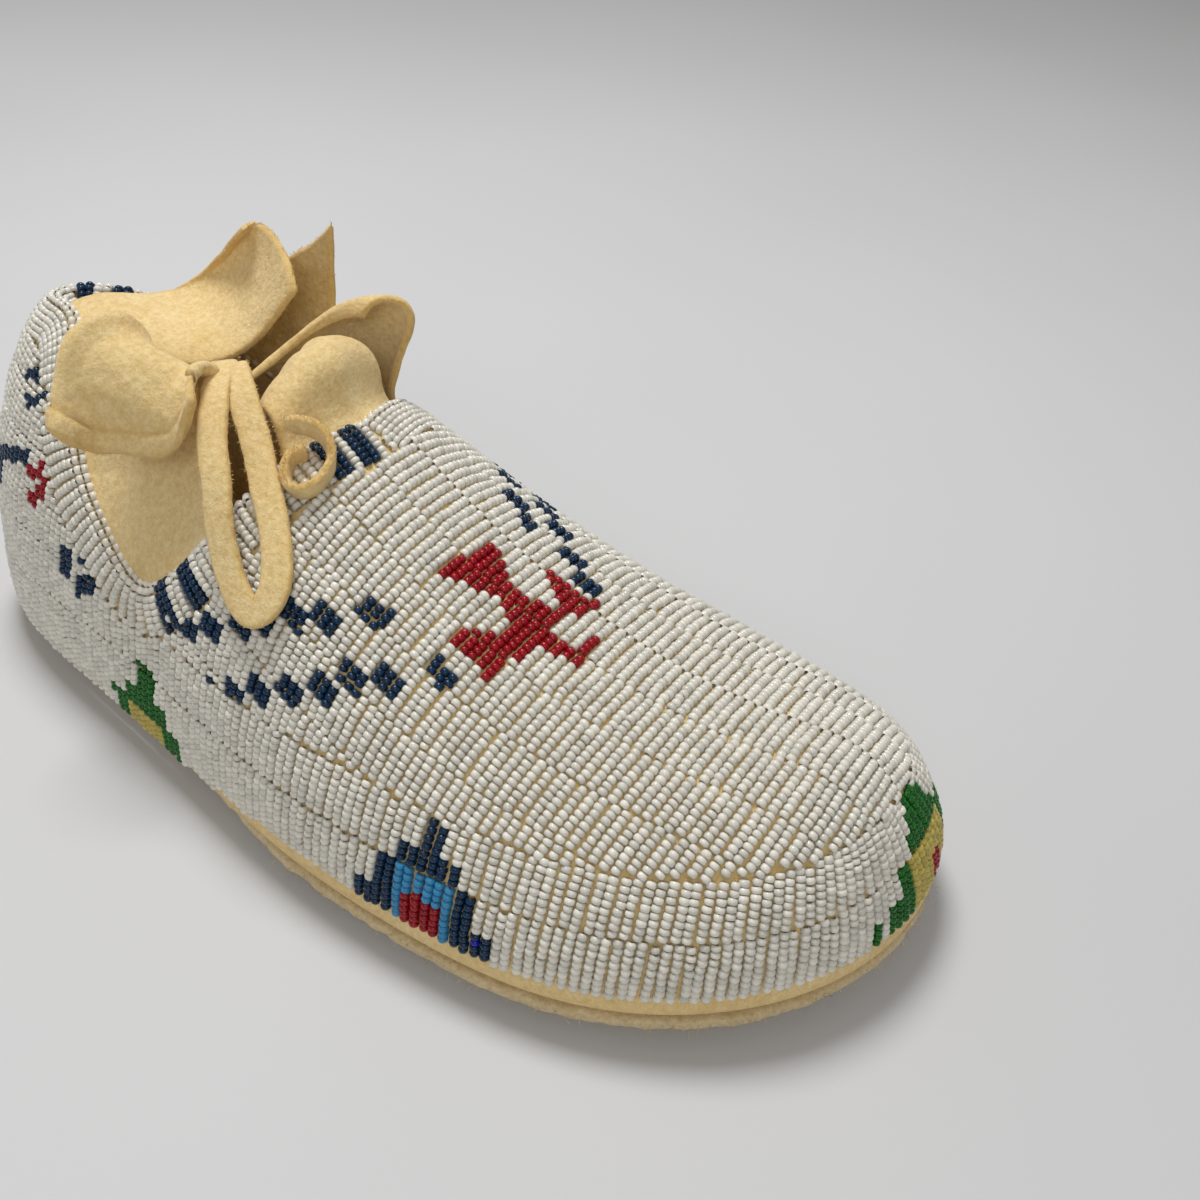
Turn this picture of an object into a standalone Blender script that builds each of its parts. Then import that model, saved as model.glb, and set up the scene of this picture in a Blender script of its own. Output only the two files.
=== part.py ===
"""Beaded moccasin for the right foot: soft leather upper, beadwork shell, folded cuff, tongue and thong.

Metres, +Z up, +X towards the toe, +Y towards the inner side of the foot. The sole rests on Z = 0.
"""

import bmesh
import bpy
import numpy as np

# Sizes of the shoe
LENGTH = 0.240
BALL_WIDTH = 0.107
THROAT_HEIGHT = 0.076
LEATHER = 0.0017
BEAD_LAYER = 0.0017
FIT = 0.0003
FOLD_FIT = 0.0007

# Sizes of the sole
SOLE_THICKNESS = 0.0028
EDGE_LIFT = 0.0034
TOE_SPRING = 0.0025
ARCH_RISE = 0.0012
ARCH_PLACE = -0.029
ARCH_HALF_LENGTH = 0.022
RIM_MARGIN = 0.001
RIM_BAND = 0.0048
RIM_SLOPE = 0.010
BARE_STRIP = 0.0055

# Sizes of the cuff, the tongue and the thong
CUFF_HEIGHT = 0.066
TONGUE_LENGTH = 0.040
THONG_WIDTH = 0.003
THONG_LIFT = 0.0028
THONG_STEP = 0.004

SECTION_POWER = 2.15
STATIONS = 36
THROAT_STATION = 15
OPENING_STEPS = 4 * THROAT_STATION
RIB_ROWS = 10

# Outline of the beaded upper in plan: share of LENGTH, share of BALL_WIDTH, outer side first
OUTLINE = (
    (-0.500, 0.000),
    (-0.474, -0.225),
    (-0.388, -0.350),
    (-0.265, -0.405),
    (-0.115, -0.455),
    (0.040, -0.508),
    (0.175, -0.512),
    (0.300, -0.470),
    (0.395, -0.360),
    (0.465, -0.185),
    (0.500, 0.060),
    (0.478, 0.290),
    (0.394, 0.430),
    (0.275, 0.473),
    (0.145, 0.452),
    (0.005, 0.395),
    (-0.135, 0.355),
    (-0.270, 0.338),
    (-0.395, 0.290),
    (-0.474, 0.165),
)

# Height of the middle line over the sole edge: share of LENGTH, share of THROAT_HEIGHT
MIDDLE_HEIGHT = (
    (-0.500, 0.990),
    (-0.340, 1.000),
    (-0.190, 0.985),
    (-0.060, 0.930),
    (0.056, 0.765),
    (0.155, 0.645),
    (0.254, 0.560),
    (0.353, 0.510),
    (0.432, 0.480),
    (0.502, 0.370),
)

# Where a rib from the outline ends on the middle line: share of LENGTH on each
RIB_END = (
    (-0.500, -0.400),
    (-0.370, -0.310),
    (-0.190, -0.160),
    (0.006, 0.022),
    (0.205, 0.180),
    (0.363, 0.308),
    (0.442, 0.362),
    (0.500, 0.384),
)

# Sideways place of the middle line: share of LENGTH, share of BALL_WIDTH
MIDDLE_SIDE = (
    (-0.500, -0.060),
    (-0.090, -0.010),
    (0.200, -0.030),
    (0.500, 0.070),
)

# Edge of the opening from the heel (0) to the throat (1):
# share, forward shift in turns, rib angle on the outer side, rib angle on the inner side
OPENING = (
    (0.000, 0.0000, 1.200, 1.200),
    (0.130, 0.0020, 1.240, 1.210),
    (0.250, 0.0050, 1.270, 1.170),
    (0.360, 0.0050, 1.130, 1.030),
    (0.450, 0.0060, 0.900, 0.880),
    (0.540, 0.0060, 0.690, 0.740),
    (0.640, 0.0080, 0.540, 0.620),
    (0.750, 0.0140, 0.480, 0.580),
    (0.820, 0.0170, 0.660, 0.720),
    (0.880, 0.0150, 0.930, 0.930),
    (0.940, 0.0090, 1.240, 1.230),
    (1.000, 0.0000, 1.5708, 1.5708),
)


def spline(points, closed=False):
    """Smooth curve through rows of (key, value ...), as a function of the key."""
    rows = np.array(points, float)
    keys, values = rows[:, 0], rows[:, 1:]
    count = len(keys)
    steps = np.diff(keys)
    system = np.zeros((count, count))
    right = np.zeros((count, values.shape[1]))
    for i in range(1, count - 1):
        system[i, i - 1 : i + 2] = steps[i - 1], 2 * (steps[i - 1] + steps[i]), steps[i]
        rise = (values[i + 1] - values[i]) / steps[i]
        right[i] = 6 * (rise - (values[i] - values[i - 1]) / steps[i - 1])
    if closed:
        last = steps[-1]
        system[0, [0, 1, count - 2]] = 2 * (steps[0] + last), steps[0], last
        rise = (values[1] - values[0]) / steps[0]
        right[0] = 6 * (rise - (values[0] - values[-2]) / last)
        system[-1, [0, -1]] = 1, -1
    else:
        system[0, 0] = system[-1, -1] = 1
    bends = np.linalg.solve(system, right)

    def at(where):
        key = np.asarray(where, float)
        key = key % keys[-1] if closed else np.clip(key, keys[0], keys[-1])
        i = np.clip(np.searchsorted(keys, key, side="right") - 1, 0, count - 2)
        step = steps[i][..., None]
        after = (key - keys[i])[..., None]
        before = step - after
        curve = (bends[i] * before**3 + bends[i + 1] * after**3) / (6 * step)
        curve = curve + (values[i] / step - bends[i] * step / 6) * before
        curve = curve + (values[i + 1] / step - bends[i + 1] * step / 6) * after
        return curve if curve.shape[-1] > 1 else curve[..., 0]

    return at


def closed_outline():
    """Outline as a function of the turn, from 0 at the heel over the outer side to 0.5 at the toe."""
    plan = np.array(OUTLINE) * (LENGTH, BALL_WIDTH)
    plan = np.vstack([plan, plan[:1]])
    walked = np.concatenate([[0], np.cumsum(np.linalg.norm(np.diff(plan, axis=0), axis=1))])
    return spline(np.column_stack([walked / walked[-1], plan]), closed=True)


OUTLINE_AT = closed_outline()
MIDDLE_HEIGHT_AT = spline(np.array(MIDDLE_HEIGHT) * (LENGTH, THROAT_HEIGHT))
RIB_END_AT = spline(np.array(RIB_END) * LENGTH)
MIDDLE_SIDE_AT = spline(np.array(MIDDLE_SIDE) * (LENGTH, BALL_WIDTH))
OPENING_AT = spline(OPENING)


def outward(turn):
    """Outward direction of the outline in plan."""
    along = OUTLINE_AT(turn + 0.001) - OUTLINE_AT(turn - 0.001)
    along = along / np.linalg.norm(along, axis=-1, keepdims=True)
    return np.stack([along[..., 1], -along[..., 0]], axis=-1)


def edge_height(x):
    """Height of the seam between the sole edge and the upper."""
    front = np.clip((x / LENGTH - 0.15) / 0.35, 0, 1)
    return SOLE_THICKNESS + EDGE_LIFT + TOE_SPRING * front**2


def middle_line(x):
    end = RIB_END_AT(x)
    return np.stack([end, MIDDLE_SIDE_AT(end)], axis=-1)


def surface(turn, angle, grow):
    """Point of the upper: rib angle 0 at the sole edge, a quarter turn on the middle line."""
    turn = np.asarray(turn, float)
    angle = np.asarray(angle, float)
    edge = OUTLINE_AT(turn)
    middle = middle_line(edge[..., 0])
    reach = np.cos(angle).clip(0) ** (2 / SECTION_POWER)
    rise = np.sin(angle) ** (2 / SECTION_POWER)
    plan = middle + (edge + outward(turn) * grow - middle) * reach[..., None]
    height = edge_height(edge[..., 0]) + (MIDDLE_HEIGHT_AT(plan[..., 0]) + grow) * rise
    return np.concatenate([plan, height[..., None]], axis=-1)


def station_turns():
    """Turns of the stations on the outer side and of their partners on the inner side."""
    dense = np.linspace(-0.1, 0.6, 20001)
    x = OUTLINE_AT(dense)[:, 0]
    heel, toe = dense[:6000][np.argmin(x[:6000])], dense[np.argmax(x)]
    outer = np.linspace(heel, toe, STATIONS + 1)
    inner_dense = np.linspace(toe, 1 + heel, 20001)
    inner_x = OUTLINE_AT(inner_dense)[:, 0]
    inner = np.interp(-OUTLINE_AT(outer)[:, 0], -inner_x, inner_dense)
    return outer, inner


OUTER_TURNS, INNER_TURNS = station_turns()
COLUMNS = 2 * STATIONS


def column_turns():
    return np.concatenate([OUTER_TURNS, INNER_TURNS[STATIONS - 1 : 0 : -1]])


def station_of(column):
    return column if column <= STATIONS else COLUMNS - column


def top_of(share, side):
    """Turn and rib angle at the edge of the opening, for shares from the heel (0) to the throat (1)."""
    share = np.asarray(share, float)
    row = OPENING_AT(share)
    station = share * THROAT_STATION
    turns = OUTER_TURNS if side > 0 else INNER_TURNS
    turn = np.interp(station, np.arange(STATIONS + 1), turns)
    return turn + side * row[..., 0], row[..., 1 if side > 0 else 2].clip(0, np.pi / 2)


def ribs(grow):
    """Grid of points on the upper, rows from the sole edge up to the opening or the middle line.

    Row 1 is the lower edge of the beadwork, so that both layers share their rows.
    """
    grid = np.zeros((RIB_ROWS + 1, COLUMNS, 3))
    along = np.linspace(0, 1, RIB_ROWS)
    for column, turn in enumerate(column_turns()):
        station = station_of(column)
        side = 1 if column <= STATIONS else -1
        end_turn, end_angle = turn, np.pi / 2
        if station < THROAT_STATION:
            end_turn, end_angle = top_of(station / THROAT_STATION, side)
        low = BARE_STRIP / MIDDLE_HEIGHT_AT(OUTLINE_AT(turn)[0])
        low_angle = np.arcsin(low ** (SECTION_POWER / 2))
        turns = np.concatenate([[turn], turn + (end_turn - turn) * along])
        angles = np.concatenate([[0], low_angle + (end_angle - low_angle) * along])
        grid[:, column] = surface(turns, angles, grow) + (0, 0, FIT)
    return grid


def material(name, colour, roughness):
    made = bpy.data.materials.new(name)
    made.use_nodes = True
    shader = made.node_tree.nodes["Principled BSDF"]
    shader.inputs["Base Color"].default_value = (*colour, 1)
    shader.inputs["Roughness"].default_value = roughness
    shader.inputs["Metallic"].default_value = 0
    made.diffuse_color = (*colour, 1)
    return made


def mesh_object(name, points, faces, finish):
    mesh = bpy.data.meshes.new(name)
    mesh.from_pydata([tuple(p) for p in points], [], faces)
    work = bmesh.new()
    work.from_mesh(mesh)
    loose = [v for v in work.verts if not v.link_faces]
    bmesh.ops.delete(work, geom=loose, context="VERTS")
    bmesh.ops.recalc_face_normals(work, faces=work.faces)
    work.to_mesh(mesh)
    work.free()
    for polygon in mesh.polygons:
        polygon.use_smooth = True
    mesh.materials.append(finish)
    made = bpy.data.objects.new(name, mesh)
    bpy.context.scene.collection.objects.link(made)
    return made


def halves(a, b, c, d, crossed):
    """Two triangles of a quad, split the same way in each layer, so that two layers stay parallel."""
    return ((a, b, d), (b, c, d)) if crossed else ((a, b, c), (a, c, d))


def shell(name, first, second, open_stations, finish):
    """Closed solid between two grids of ribs. The two sides meet on the middle line ahead of the opening."""
    rows, columns = first.shape[:2]

    def index(layer, row, column):
        column %= columns
        if row == rows - 1 and station_of(column) >= open_stations:
            column = station_of(column)
        return (layer * rows + row) * columns + column

    faces = []
    for column in range(columns):
        after = column + 1
        for row in range(rows - 1):
            quad = (row, column), (row, after), (row + 1, after), (row + 1, column)
            for corners in halves(*quad, column < columns // 2):
                faces.append([index(0, *corner) for corner in corners])
                faces.append([index(1, *corner) for corner in reversed(corners)])
        ends = [0]
        if min(station_of(column), station_of(after % columns)) < open_stations:
            ends.append(rows - 1)
        for row in ends:
            faces.append(
                [index(0, row, column), index(1, row, column), index(1, row, after), index(0, row, after)]
            )
    points = np.concatenate([first.reshape(-1, 3), second.reshape(-1, 3)])
    return mesh_object(name, points, faces, finish)


def sole_grids():
    """Top and bottom of the sole: a flat plate with a low arch, and an edge that is lifted off the floor."""
    insets = (-RIM_MARGIN, RIM_BAND, RIM_BAND + 0.5 * RIM_SLOPE, RIM_BAND + RIM_SLOPE)
    slope = (1, 1, 0.42, 0)
    inner_shares = (0.5, 0)
    turns = column_turns()
    edge = OUTLINE_AT(turns)
    out = outward(turns)
    middle = middle_line(edge[:, 0])
    top = np.zeros((len(insets) + len(inner_shares), COLUMNS, 3))
    for row, inset in enumerate(insets):
        top[row, :, :2] = edge - out * inset
        top[row, :, 2] = SOLE_THICKNESS + (edge_height(edge[:, 0]) - SOLE_THICKNESS) * slope[row]
    for row, share in enumerate(inner_shares, len(insets)):
        top[row, :, :2] = middle + (top[len(insets) - 1, :, :2] - middle) * share
        top[row, :, 2] = SOLE_THICKNESS
    waist = np.clip(1 - np.abs(top[..., 0] - ARCH_PLACE) / ARCH_HALF_LENGTH, 0, 1)
    inside = np.arange(len(top))[:, None] >= len(insets) - 1
    top[..., 2] += ARCH_RISE * waist * waist * (3 - 2 * waist) * inside
    bottom = top - (0, 0, SOLE_THICKNESS)
    return top, bottom


def collar(step):
    """Middle of the leather's edge at the opening: step 0 at the throat, outer side first, then the heel."""
    share = (step / OPENING_STEPS) % 1
    side = 1 if share <= 0.5 else -1
    station = abs(1 - 2 * share) * THROAT_STATION
    low = min(int(station + 1e-6), THROAT_STATION - 1)
    grow = -BEAD_LAYER - FIT - LEATHER / 2
    ends = [surface(*top_of(s / THROAT_STATION, side), grow) for s in (low, low + 1)]
    return ends[0] + (ends[1] - ends[0]) * (station - low) + (0, 0, FIT)


def collar_frame(step):
    """Direction along the edge of the opening, level direction away from it, and the leather's own."""
    share = (step / OPENING_STEPS) % 1
    side = 1 if share <= 0.5 else -1
    turn, angle = top_of(abs(1 - 2 * share), side)
    edge = collar(step + 1) - collar(step - 1)
    edge /= np.linalg.norm(edge)
    wide = surface(turn + 0.01, angle, 0) - surface(turn - 0.01, angle, 0)
    steep = min(angle, 1.45)
    rise = surface(turn, steep + 0.03, 0) - surface(turn, steep - 0.03, 0)
    normal = np.cross(wide, rise)
    if normal[2] < 0:
        normal = -normal
    normal -= edge * (normal @ edge)
    normal /= np.linalg.norm(normal)
    up = np.cross(edge, normal)
    along = edge * (1, 1, 0)
    along /= np.linalg.norm(along)
    return along, np.array([-along[1], along[0], 0]), up


def fold_grid(folds, scale, rows, per_step):
    """Middle surface of a leather piece that leaves the opening, from a table of folds.

    Each row of the table: step round the opening, height as a share of scale, sweep along the
    opening as a share of scale, then the lean in degrees at equal steps up the piece, where 0 is
    upright, minus is inwards and plus is outwards.
    """
    table = spline(folds)
    first, last = folds[0][0], folds[-1][0]
    grid = np.zeros((rows + 1, (last - first) * per_step + 1, 3))
    for column in range(grid.shape[1]):
        step = first + column / per_step
        height, sweep, *leans = table(step)
        along, out, up = collar_frame(step)
        start = np.degrees(np.arctan2(up @ out, up[2]))
        lean_at = spline(np.column_stack([np.linspace(0, 1, len(leans) + 1), [start, *leans]]))
        point = collar(step) + up * FOLD_FIT
        grid[0, column] = point
        for row in range(1, rows + 1):
            lean = np.radians(lean_at((row - 0.5) / rows))
            move = np.array([0, 0, np.cos(lean)]) + out * np.sin(lean)
            share = (row - 0.5) / rows
            point = point + (move * height + along * sweep * 2 * share) * scale / rows
            grid[row, column] = point
    return grid


def sheet(name, grid, thickness, finish):
    """Closed solid of even thickness about a grid of points."""
    down = np.gradient(grid, axis=0)
    across = np.gradient(grid, axis=1)
    normal = np.cross(down, across)
    normal /= np.linalg.norm(normal, axis=-1, keepdims=True)
    rows, columns = grid.shape[:2]
    layers = [grid + normal * thickness / 2, grid - normal * thickness / 2]

    def index(layer, row, column):
        return (layer * rows + row) * columns + column

    faces = []
    for row in range(rows - 1):
        for column in range(columns - 1):
            quad = (row, column), (row, column + 1), (row + 1, column + 1), (row + 1, column)
            for corners in halves(*quad, False):
                faces.append([index(0, *corner) for corner in corners])
                faces.append([index(1, *corner) for corner in reversed(corners)])
    border = [(0, c) for c in range(columns)]
    border += [(r, columns - 1) for r in range(1, rows)]
    border += [(rows - 1, c) for c in range(columns - 2, -1, -1)]
    border += [(r, 0) for r in range(rows - 2, 0, -1)]
    for here, there in zip(border, border[1:] + border[:1]):
        faces.append([index(0, *here), index(1, *here), index(1, *there), index(0, *there)])
    points = np.concatenate([layer.reshape(-1, 3) for layer in layers])
    return mesh_object(name, points, faces, finish)


# Folds of the flap that hangs over the outer side: step, height, sweep, leans
CUFF_FOLDS = (
    (4, 0.66, 0.04, -40, -50, -30, 60, 120),
    (6, 1.02, 0.00, -34, -42, -8, 114, 164),
    (8, 1.14, -0.02, -32, -38, -4, 130, 168),
    (12, 1.14, -0.14, -30, -24, 50, 160, 172),
    (15, 1.02, -0.34, -34, -20, 60, 150, 170),
    (16, 0.86, -0.38, -36, -24, 60, 150, 170),
)

# Folds of the rear piece, which lies inwards over the opening and then stands up
BACK_FOLDS = (
    (18, 0.86, -0.02, -88, -92, -64, -40, -38),
    (20, 0.86, -0.10, -92, -94, -60, -32, -30),
    (22, 0.80, -0.24, -94, -92, -56, -24, -20),
    (24, 0.70, -0.40, -94, -90, -50, -14, -10),
)

# Folds of the pointed piece that stands at the inner side
POINT_FOLDS = (
    (44, 0.36, 0.10, -10, 2, 6, 6, 6),
    (47, 0.52, 0.06, -10, 2, 4, 4, 4),
    (51, 0.82, 0.00, -12, 0, 2, 2, 2),
)

# Folds of the tongue, which curls back from the inner side of the throat
TONGUE_FOLDS = (
    (52, 1.35, 0.00, -30, -42, -50, -80, -130),
    (54, 1.25, 0.00, -16, -20, -30, -90, -150),
    (57, 1.00, 0.00, 6, 20, 10, -90, -160),
)

# Folds of the piece rolled back from the front of the throat
ROLL_FOLDS = (
    (58, 0.80, 0.00, -14, -20, -90, -150, -190),
    (60, 0.84, 0.00, -30, -20, -94, -154, -194),
    (62, 0.56, 0.00, -34, -30, -90, -140, -180),
)

# Ways of the thong over the upper: turn, rib angle, height over the beads as a share of THONG_LIFT
LOOP_WAY = (
    (0.1815, 1.460, 1.5),
    (0.1805, 1.400, 2.6),
    (0.1825, 1.320, 2.7),
    (0.1860, 1.190, 2.5),
    (0.1925, 1.040, 2.3),
    (0.1990, 0.920, 1.9),
    (0.2050, 0.810, 1.3),
    (0.2130, 0.722, 1.0),
    (0.2220, 0.672, 0.9),
    (0.2333, 0.682, 0.9),
    (0.2395, 0.796, 0.9),
    (0.2370, 0.932, 0.9),
    (0.2275, 1.017, 1.0),
    (0.2150, 1.103, 1.3),
    (0.2025, 1.171, 1.7),
    (0.1945, 1.240, 2.1),
    (0.1890, 1.300, 2.3),
    (0.1865, 1.345, 1.6),
)
RING_WAY = (
    (0.2070, 1.300, 1.6),
    (0.2110, 1.330, 1.9),
    (0.2180, 1.360, 1.5),
    (0.2250, 1.330, 0.9),
    (0.2280, 1.260, 0.75),
    (0.2270, 1.180, 0.75),
    (0.2230, 1.150, 0.75),
    (0.2170, 1.180, 0.75),
    (0.2150, 1.240, 0.75),
    (0.2175, 1.290, 0.75),
)


def strap(name, way, finish):
    """Round cord along a way of (turn, rib angle, height) rows."""
    rows = np.array(way)
    points = surface(rows[:, 0], rows[:, 1], 0)
    wide = surface(rows[:, 0] + 0.005, rows[:, 1], 0) - surface(rows[:, 0] - 0.005, rows[:, 1], 0)
    rise = surface(rows[:, 0], rows[:, 1] + 0.02, 0) - surface(rows[:, 0], rows[:, 1] - 0.02, 0)
    normal = np.cross(rise, wide)
    normal /= np.linalg.norm(normal, axis=1, keepdims=True)
    normal *= np.sign(normal[:, 2:])
    points = points + normal * rows[:, 2:] * THONG_LIFT
    walked = np.concatenate([[0], np.cumsum(np.linalg.norm(np.diff(points, axis=0), axis=1))])
    count = int(np.ceil(walked[-1] / THONG_STEP))
    smooth = spline(np.column_stack([walked, points]))(np.linspace(0, walked[-1], count + 1))
    curve = bpy.data.curves.new(name, "CURVE")
    curve.dimensions = "3D"
    line = curve.splines.new("POLY")
    line.points.add(len(smooth) - 1)
    line.points.foreach_set("co", np.column_stack([smooth, np.ones(len(smooth))]).ravel())
    curve.bevel_depth = THONG_WIDTH / 2
    curve.bevel_resolution = 2
    curve.use_fill_caps = True
    curve.materials.append(finish)
    made = bpy.data.objects.new(name, curve)
    bpy.context.scene.collection.objects.link(made)
    return made


def main():
    for old in list(bpy.data.objects):
        bpy.data.objects.remove(old)
    hide = material("buckskin", (0.76, 0.60, 0.34), 0.92)
    sole_hide = material("rawhide", (0.70, 0.55, 0.33), 0.85)
    beads = material("glass_beads", (0.78, 0.77, 0.74), 0.3)

    top, bottom = sole_grids()
    shell("sole", top, bottom, 0, sole_hide)

    leather_out = -BEAD_LAYER - FIT
    shell("upper", ribs(leather_out), ribs(leather_out - LEATHER), THROAT_STATION, hide)
    shell("beadwork", ribs(0)[1:], ribs(-BEAD_LAYER)[1:], THROAT_STATION, beads)

    sheet("cuff", fold_grid(CUFF_FOLDS, CUFF_HEIGHT, 14, 1), LEATHER, hide)
    sheet("cuff_back", fold_grid(BACK_FOLDS, CUFF_HEIGHT, 14, 1), LEATHER, hide)
    sheet("cuff_point", fold_grid(POINT_FOLDS, CUFF_HEIGHT, 8, 1), LEATHER, hide)
    sheet("tongue", fold_grid(TONGUE_FOLDS, TONGUE_LENGTH, 12, 2), LEATHER, hide)
    sheet("throat_roll", fold_grid(ROLL_FOLDS, TONGUE_LENGTH, 12, 2), LEATHER, hide)

    strap("thong_loop", LOOP_WAY, hide)
    strap("thong_ring", RING_WAY, hide)


main()
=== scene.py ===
"""Looks of the beaded moccasin: separate glass beads on a leather shell, suede cuff, tongue and thong.

Metres, +Z up, +X towards the toe, +Y towards the inner side of the foot.
"""

import bmesh
import bpy
import numpy as np
from mathutils import Matrix, Vector, kdtree, noise


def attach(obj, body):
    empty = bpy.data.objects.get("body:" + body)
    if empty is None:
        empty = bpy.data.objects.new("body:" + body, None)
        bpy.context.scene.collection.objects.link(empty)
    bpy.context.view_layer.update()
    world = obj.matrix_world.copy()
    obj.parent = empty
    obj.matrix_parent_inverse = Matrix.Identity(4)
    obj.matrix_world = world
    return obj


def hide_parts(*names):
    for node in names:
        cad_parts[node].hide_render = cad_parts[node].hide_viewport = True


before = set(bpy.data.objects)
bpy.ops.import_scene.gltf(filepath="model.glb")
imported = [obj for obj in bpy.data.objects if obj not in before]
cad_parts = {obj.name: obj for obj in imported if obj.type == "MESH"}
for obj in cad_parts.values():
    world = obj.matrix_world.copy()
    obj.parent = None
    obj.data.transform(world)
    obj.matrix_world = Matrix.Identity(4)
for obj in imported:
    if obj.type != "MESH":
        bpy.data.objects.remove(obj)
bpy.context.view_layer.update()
RANDOM = np.random.default_rng(7)

# Sizes of the shoe, as in the solids
LENGTH = 0.240
BALL_WIDTH = 0.107
THROAT_HEIGHT = 0.076
LEATHER = 0.0017
BEAD_LAYER = 0.0017
FIT = 0.0003
FOLD_FIT = 0.0007
SOLE_THICKNESS = 0.0028
EDGE_LIFT = 0.0034
TOE_SPRING = 0.0025
ARCH_RISE = 0.0012
ARCH_PLACE = -0.029
ARCH_HALF_LENGTH = 0.022
RIM_MARGIN = 0.001
RIM_BAND = 0.0048
RIM_SLOPE = 0.010
CUFF_HEIGHT = 0.066
TONGUE_LENGTH = 0.040
THONG_LIFT = 0.0028
SECTION_POWER = 2.15
STATIONS = 36
THROAT_STATION = 15
OPENING_STEPS = 4 * THROAT_STATION

# Steps that slopes are taken over, and how close to its ends a rib angle may come
TURN_STEP = 0.001
ANGLE_STEP = 0.003
LEAST_ANGLE = 0.01
MOST_ANGLE = np.pi / 2 - 0.004

OUTLINE = (
    (-0.500, 0.000), (-0.474, -0.225), (-0.388, -0.350), (-0.265, -0.405), (-0.115, -0.455),
    (0.040, -0.508), (0.175, -0.512), (0.300, -0.470), (0.395, -0.360), (0.465, -0.185),
    (0.500, 0.060), (0.478, 0.290), (0.394, 0.430), (0.275, 0.473), (0.145, 0.452),
    (0.005, 0.395), (-0.135, 0.355), (-0.270, 0.338), (-0.395, 0.290), (-0.474, 0.165),
)
MIDDLE_HEIGHT = (
    (-0.500, 0.990), (-0.340, 1.000), (-0.190, 0.985), (-0.060, 0.930), (0.056, 0.765),
    (0.155, 0.645), (0.254, 0.560), (0.353, 0.510), (0.432, 0.480), (0.502, 0.370),
)
RIB_END = (
    (-0.500, -0.400), (-0.370, -0.310), (-0.190, -0.160), (0.006, 0.022),
    (0.205, 0.180), (0.363, 0.308), (0.442, 0.362), (0.500, 0.384),
)
MIDDLE_SIDE = ((-0.500, -0.060), (-0.090, -0.010), (0.200, -0.030), (0.500, 0.070))
OPENING = (
    (0.000, 0.0000, 1.200, 1.200), (0.130, 0.0020, 1.240, 1.210), (0.250, 0.0050, 1.270, 1.170),
    (0.360, 0.0050, 1.130, 1.030), (0.450, 0.0060, 0.900, 0.880), (0.540, 0.0060, 0.690, 0.740),
    (0.640, 0.0080, 0.540, 0.620), (0.750, 0.0140, 0.480, 0.580), (0.820, 0.0170, 0.660, 0.720),
    (0.880, 0.0150, 0.930, 0.930), (0.940, 0.0090, 1.240, 1.230), (1.000, 0.0000, 1.5708, 1.5708),
)


def spline(points, closed=False):
    """Smooth curve through rows of (key, value ...), as a function of the key."""
    rows = np.array(points, float)
    keys, values = rows[:, 0], rows[:, 1:]
    count = len(keys)
    steps = np.diff(keys)
    system = np.zeros((count, count))
    right = np.zeros((count, values.shape[1]))
    for i in range(1, count - 1):
        system[i, i - 1 : i + 2] = steps[i - 1], 2 * (steps[i - 1] + steps[i]), steps[i]
        rise = (values[i + 1] - values[i]) / steps[i]
        right[i] = 6 * (rise - (values[i] - values[i - 1]) / steps[i - 1])
    if closed:
        last = steps[-1]
        system[0, [0, 1, count - 2]] = 2 * (steps[0] + last), steps[0], last
        rise = (values[1] - values[0]) / steps[0]
        right[0] = 6 * (rise - (values[0] - values[-2]) / last)
        system[-1, [0, -1]] = 1, -1
    else:
        system[0, 0] = system[-1, -1] = 1
    bends = np.linalg.solve(system, right)

    def at(where):
        key = np.asarray(where, float)
        key = key % keys[-1] if closed else np.clip(key, keys[0], keys[-1])
        i = np.clip(np.searchsorted(keys, key, side="right") - 1, 0, count - 2)
        step = steps[i][..., None]
        after = (key - keys[i])[..., None]
        before = step - after
        curve = (bends[i] * before**3 + bends[i + 1] * after**3) / (6 * step)
        curve = curve + (values[i] / step - bends[i] * step / 6) * before
        curve = curve + (values[i + 1] / step - bends[i + 1] * step / 6) * after
        return curve if curve.shape[-1] > 1 else curve[..., 0]

    return at


def walked_along(points, axis=0):
    """Distance walked along the points from the first, for each."""
    steps = np.linalg.norm(np.diff(points, axis=axis), axis=-1)
    start = np.zeros_like(np.take(points[..., 0], [0], axis=axis))
    return np.concatenate([start, np.cumsum(steps, axis=axis)], axis=axis)


def unit(vectors):
    return vectors / np.linalg.norm(vectors, axis=-1, keepdims=True)


def closed_outline():
    """Plan of the sole as a closed curve, with a turn of 1 all round."""
    plan = np.array(OUTLINE) * (LENGTH, BALL_WIDTH)
    plan = np.vstack([plan, plan[:1]])
    walked = walked_along(plan)
    return spline(np.column_stack([walked / walked[-1], plan]), closed=True)


OUTLINE_AT = closed_outline()
MIDDLE_HEIGHT_AT = spline(np.array(MIDDLE_HEIGHT) * (LENGTH, THROAT_HEIGHT))
RIB_END_AT = spline(np.array(RIB_END) * LENGTH)
MIDDLE_SIDE_AT = spline(np.array(MIDDLE_SIDE) * (LENGTH, BALL_WIDTH))
OPENING_AT = spline(OPENING)


def outward(turn):
    """Level direction out of the outline."""
    along = unit(OUTLINE_AT(turn + TURN_STEP) - OUTLINE_AT(turn - TURN_STEP))
    return np.stack([along[..., 1], -along[..., 0]], axis=-1)


def edge_height(x):
    """Height of the sole's edge, which lifts towards the toe."""
    front = np.clip((x / LENGTH - 0.15) / 0.35, 0, 1)
    return SOLE_THICKNESS + EDGE_LIFT + TOE_SPRING * front**2


def middle_line(x):
    """Point of the middle line that the rib from this place on the edge runs to."""
    end = RIB_END_AT(x)
    return np.stack([end, MIDDLE_SIDE_AT(end)], axis=-1)


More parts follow.
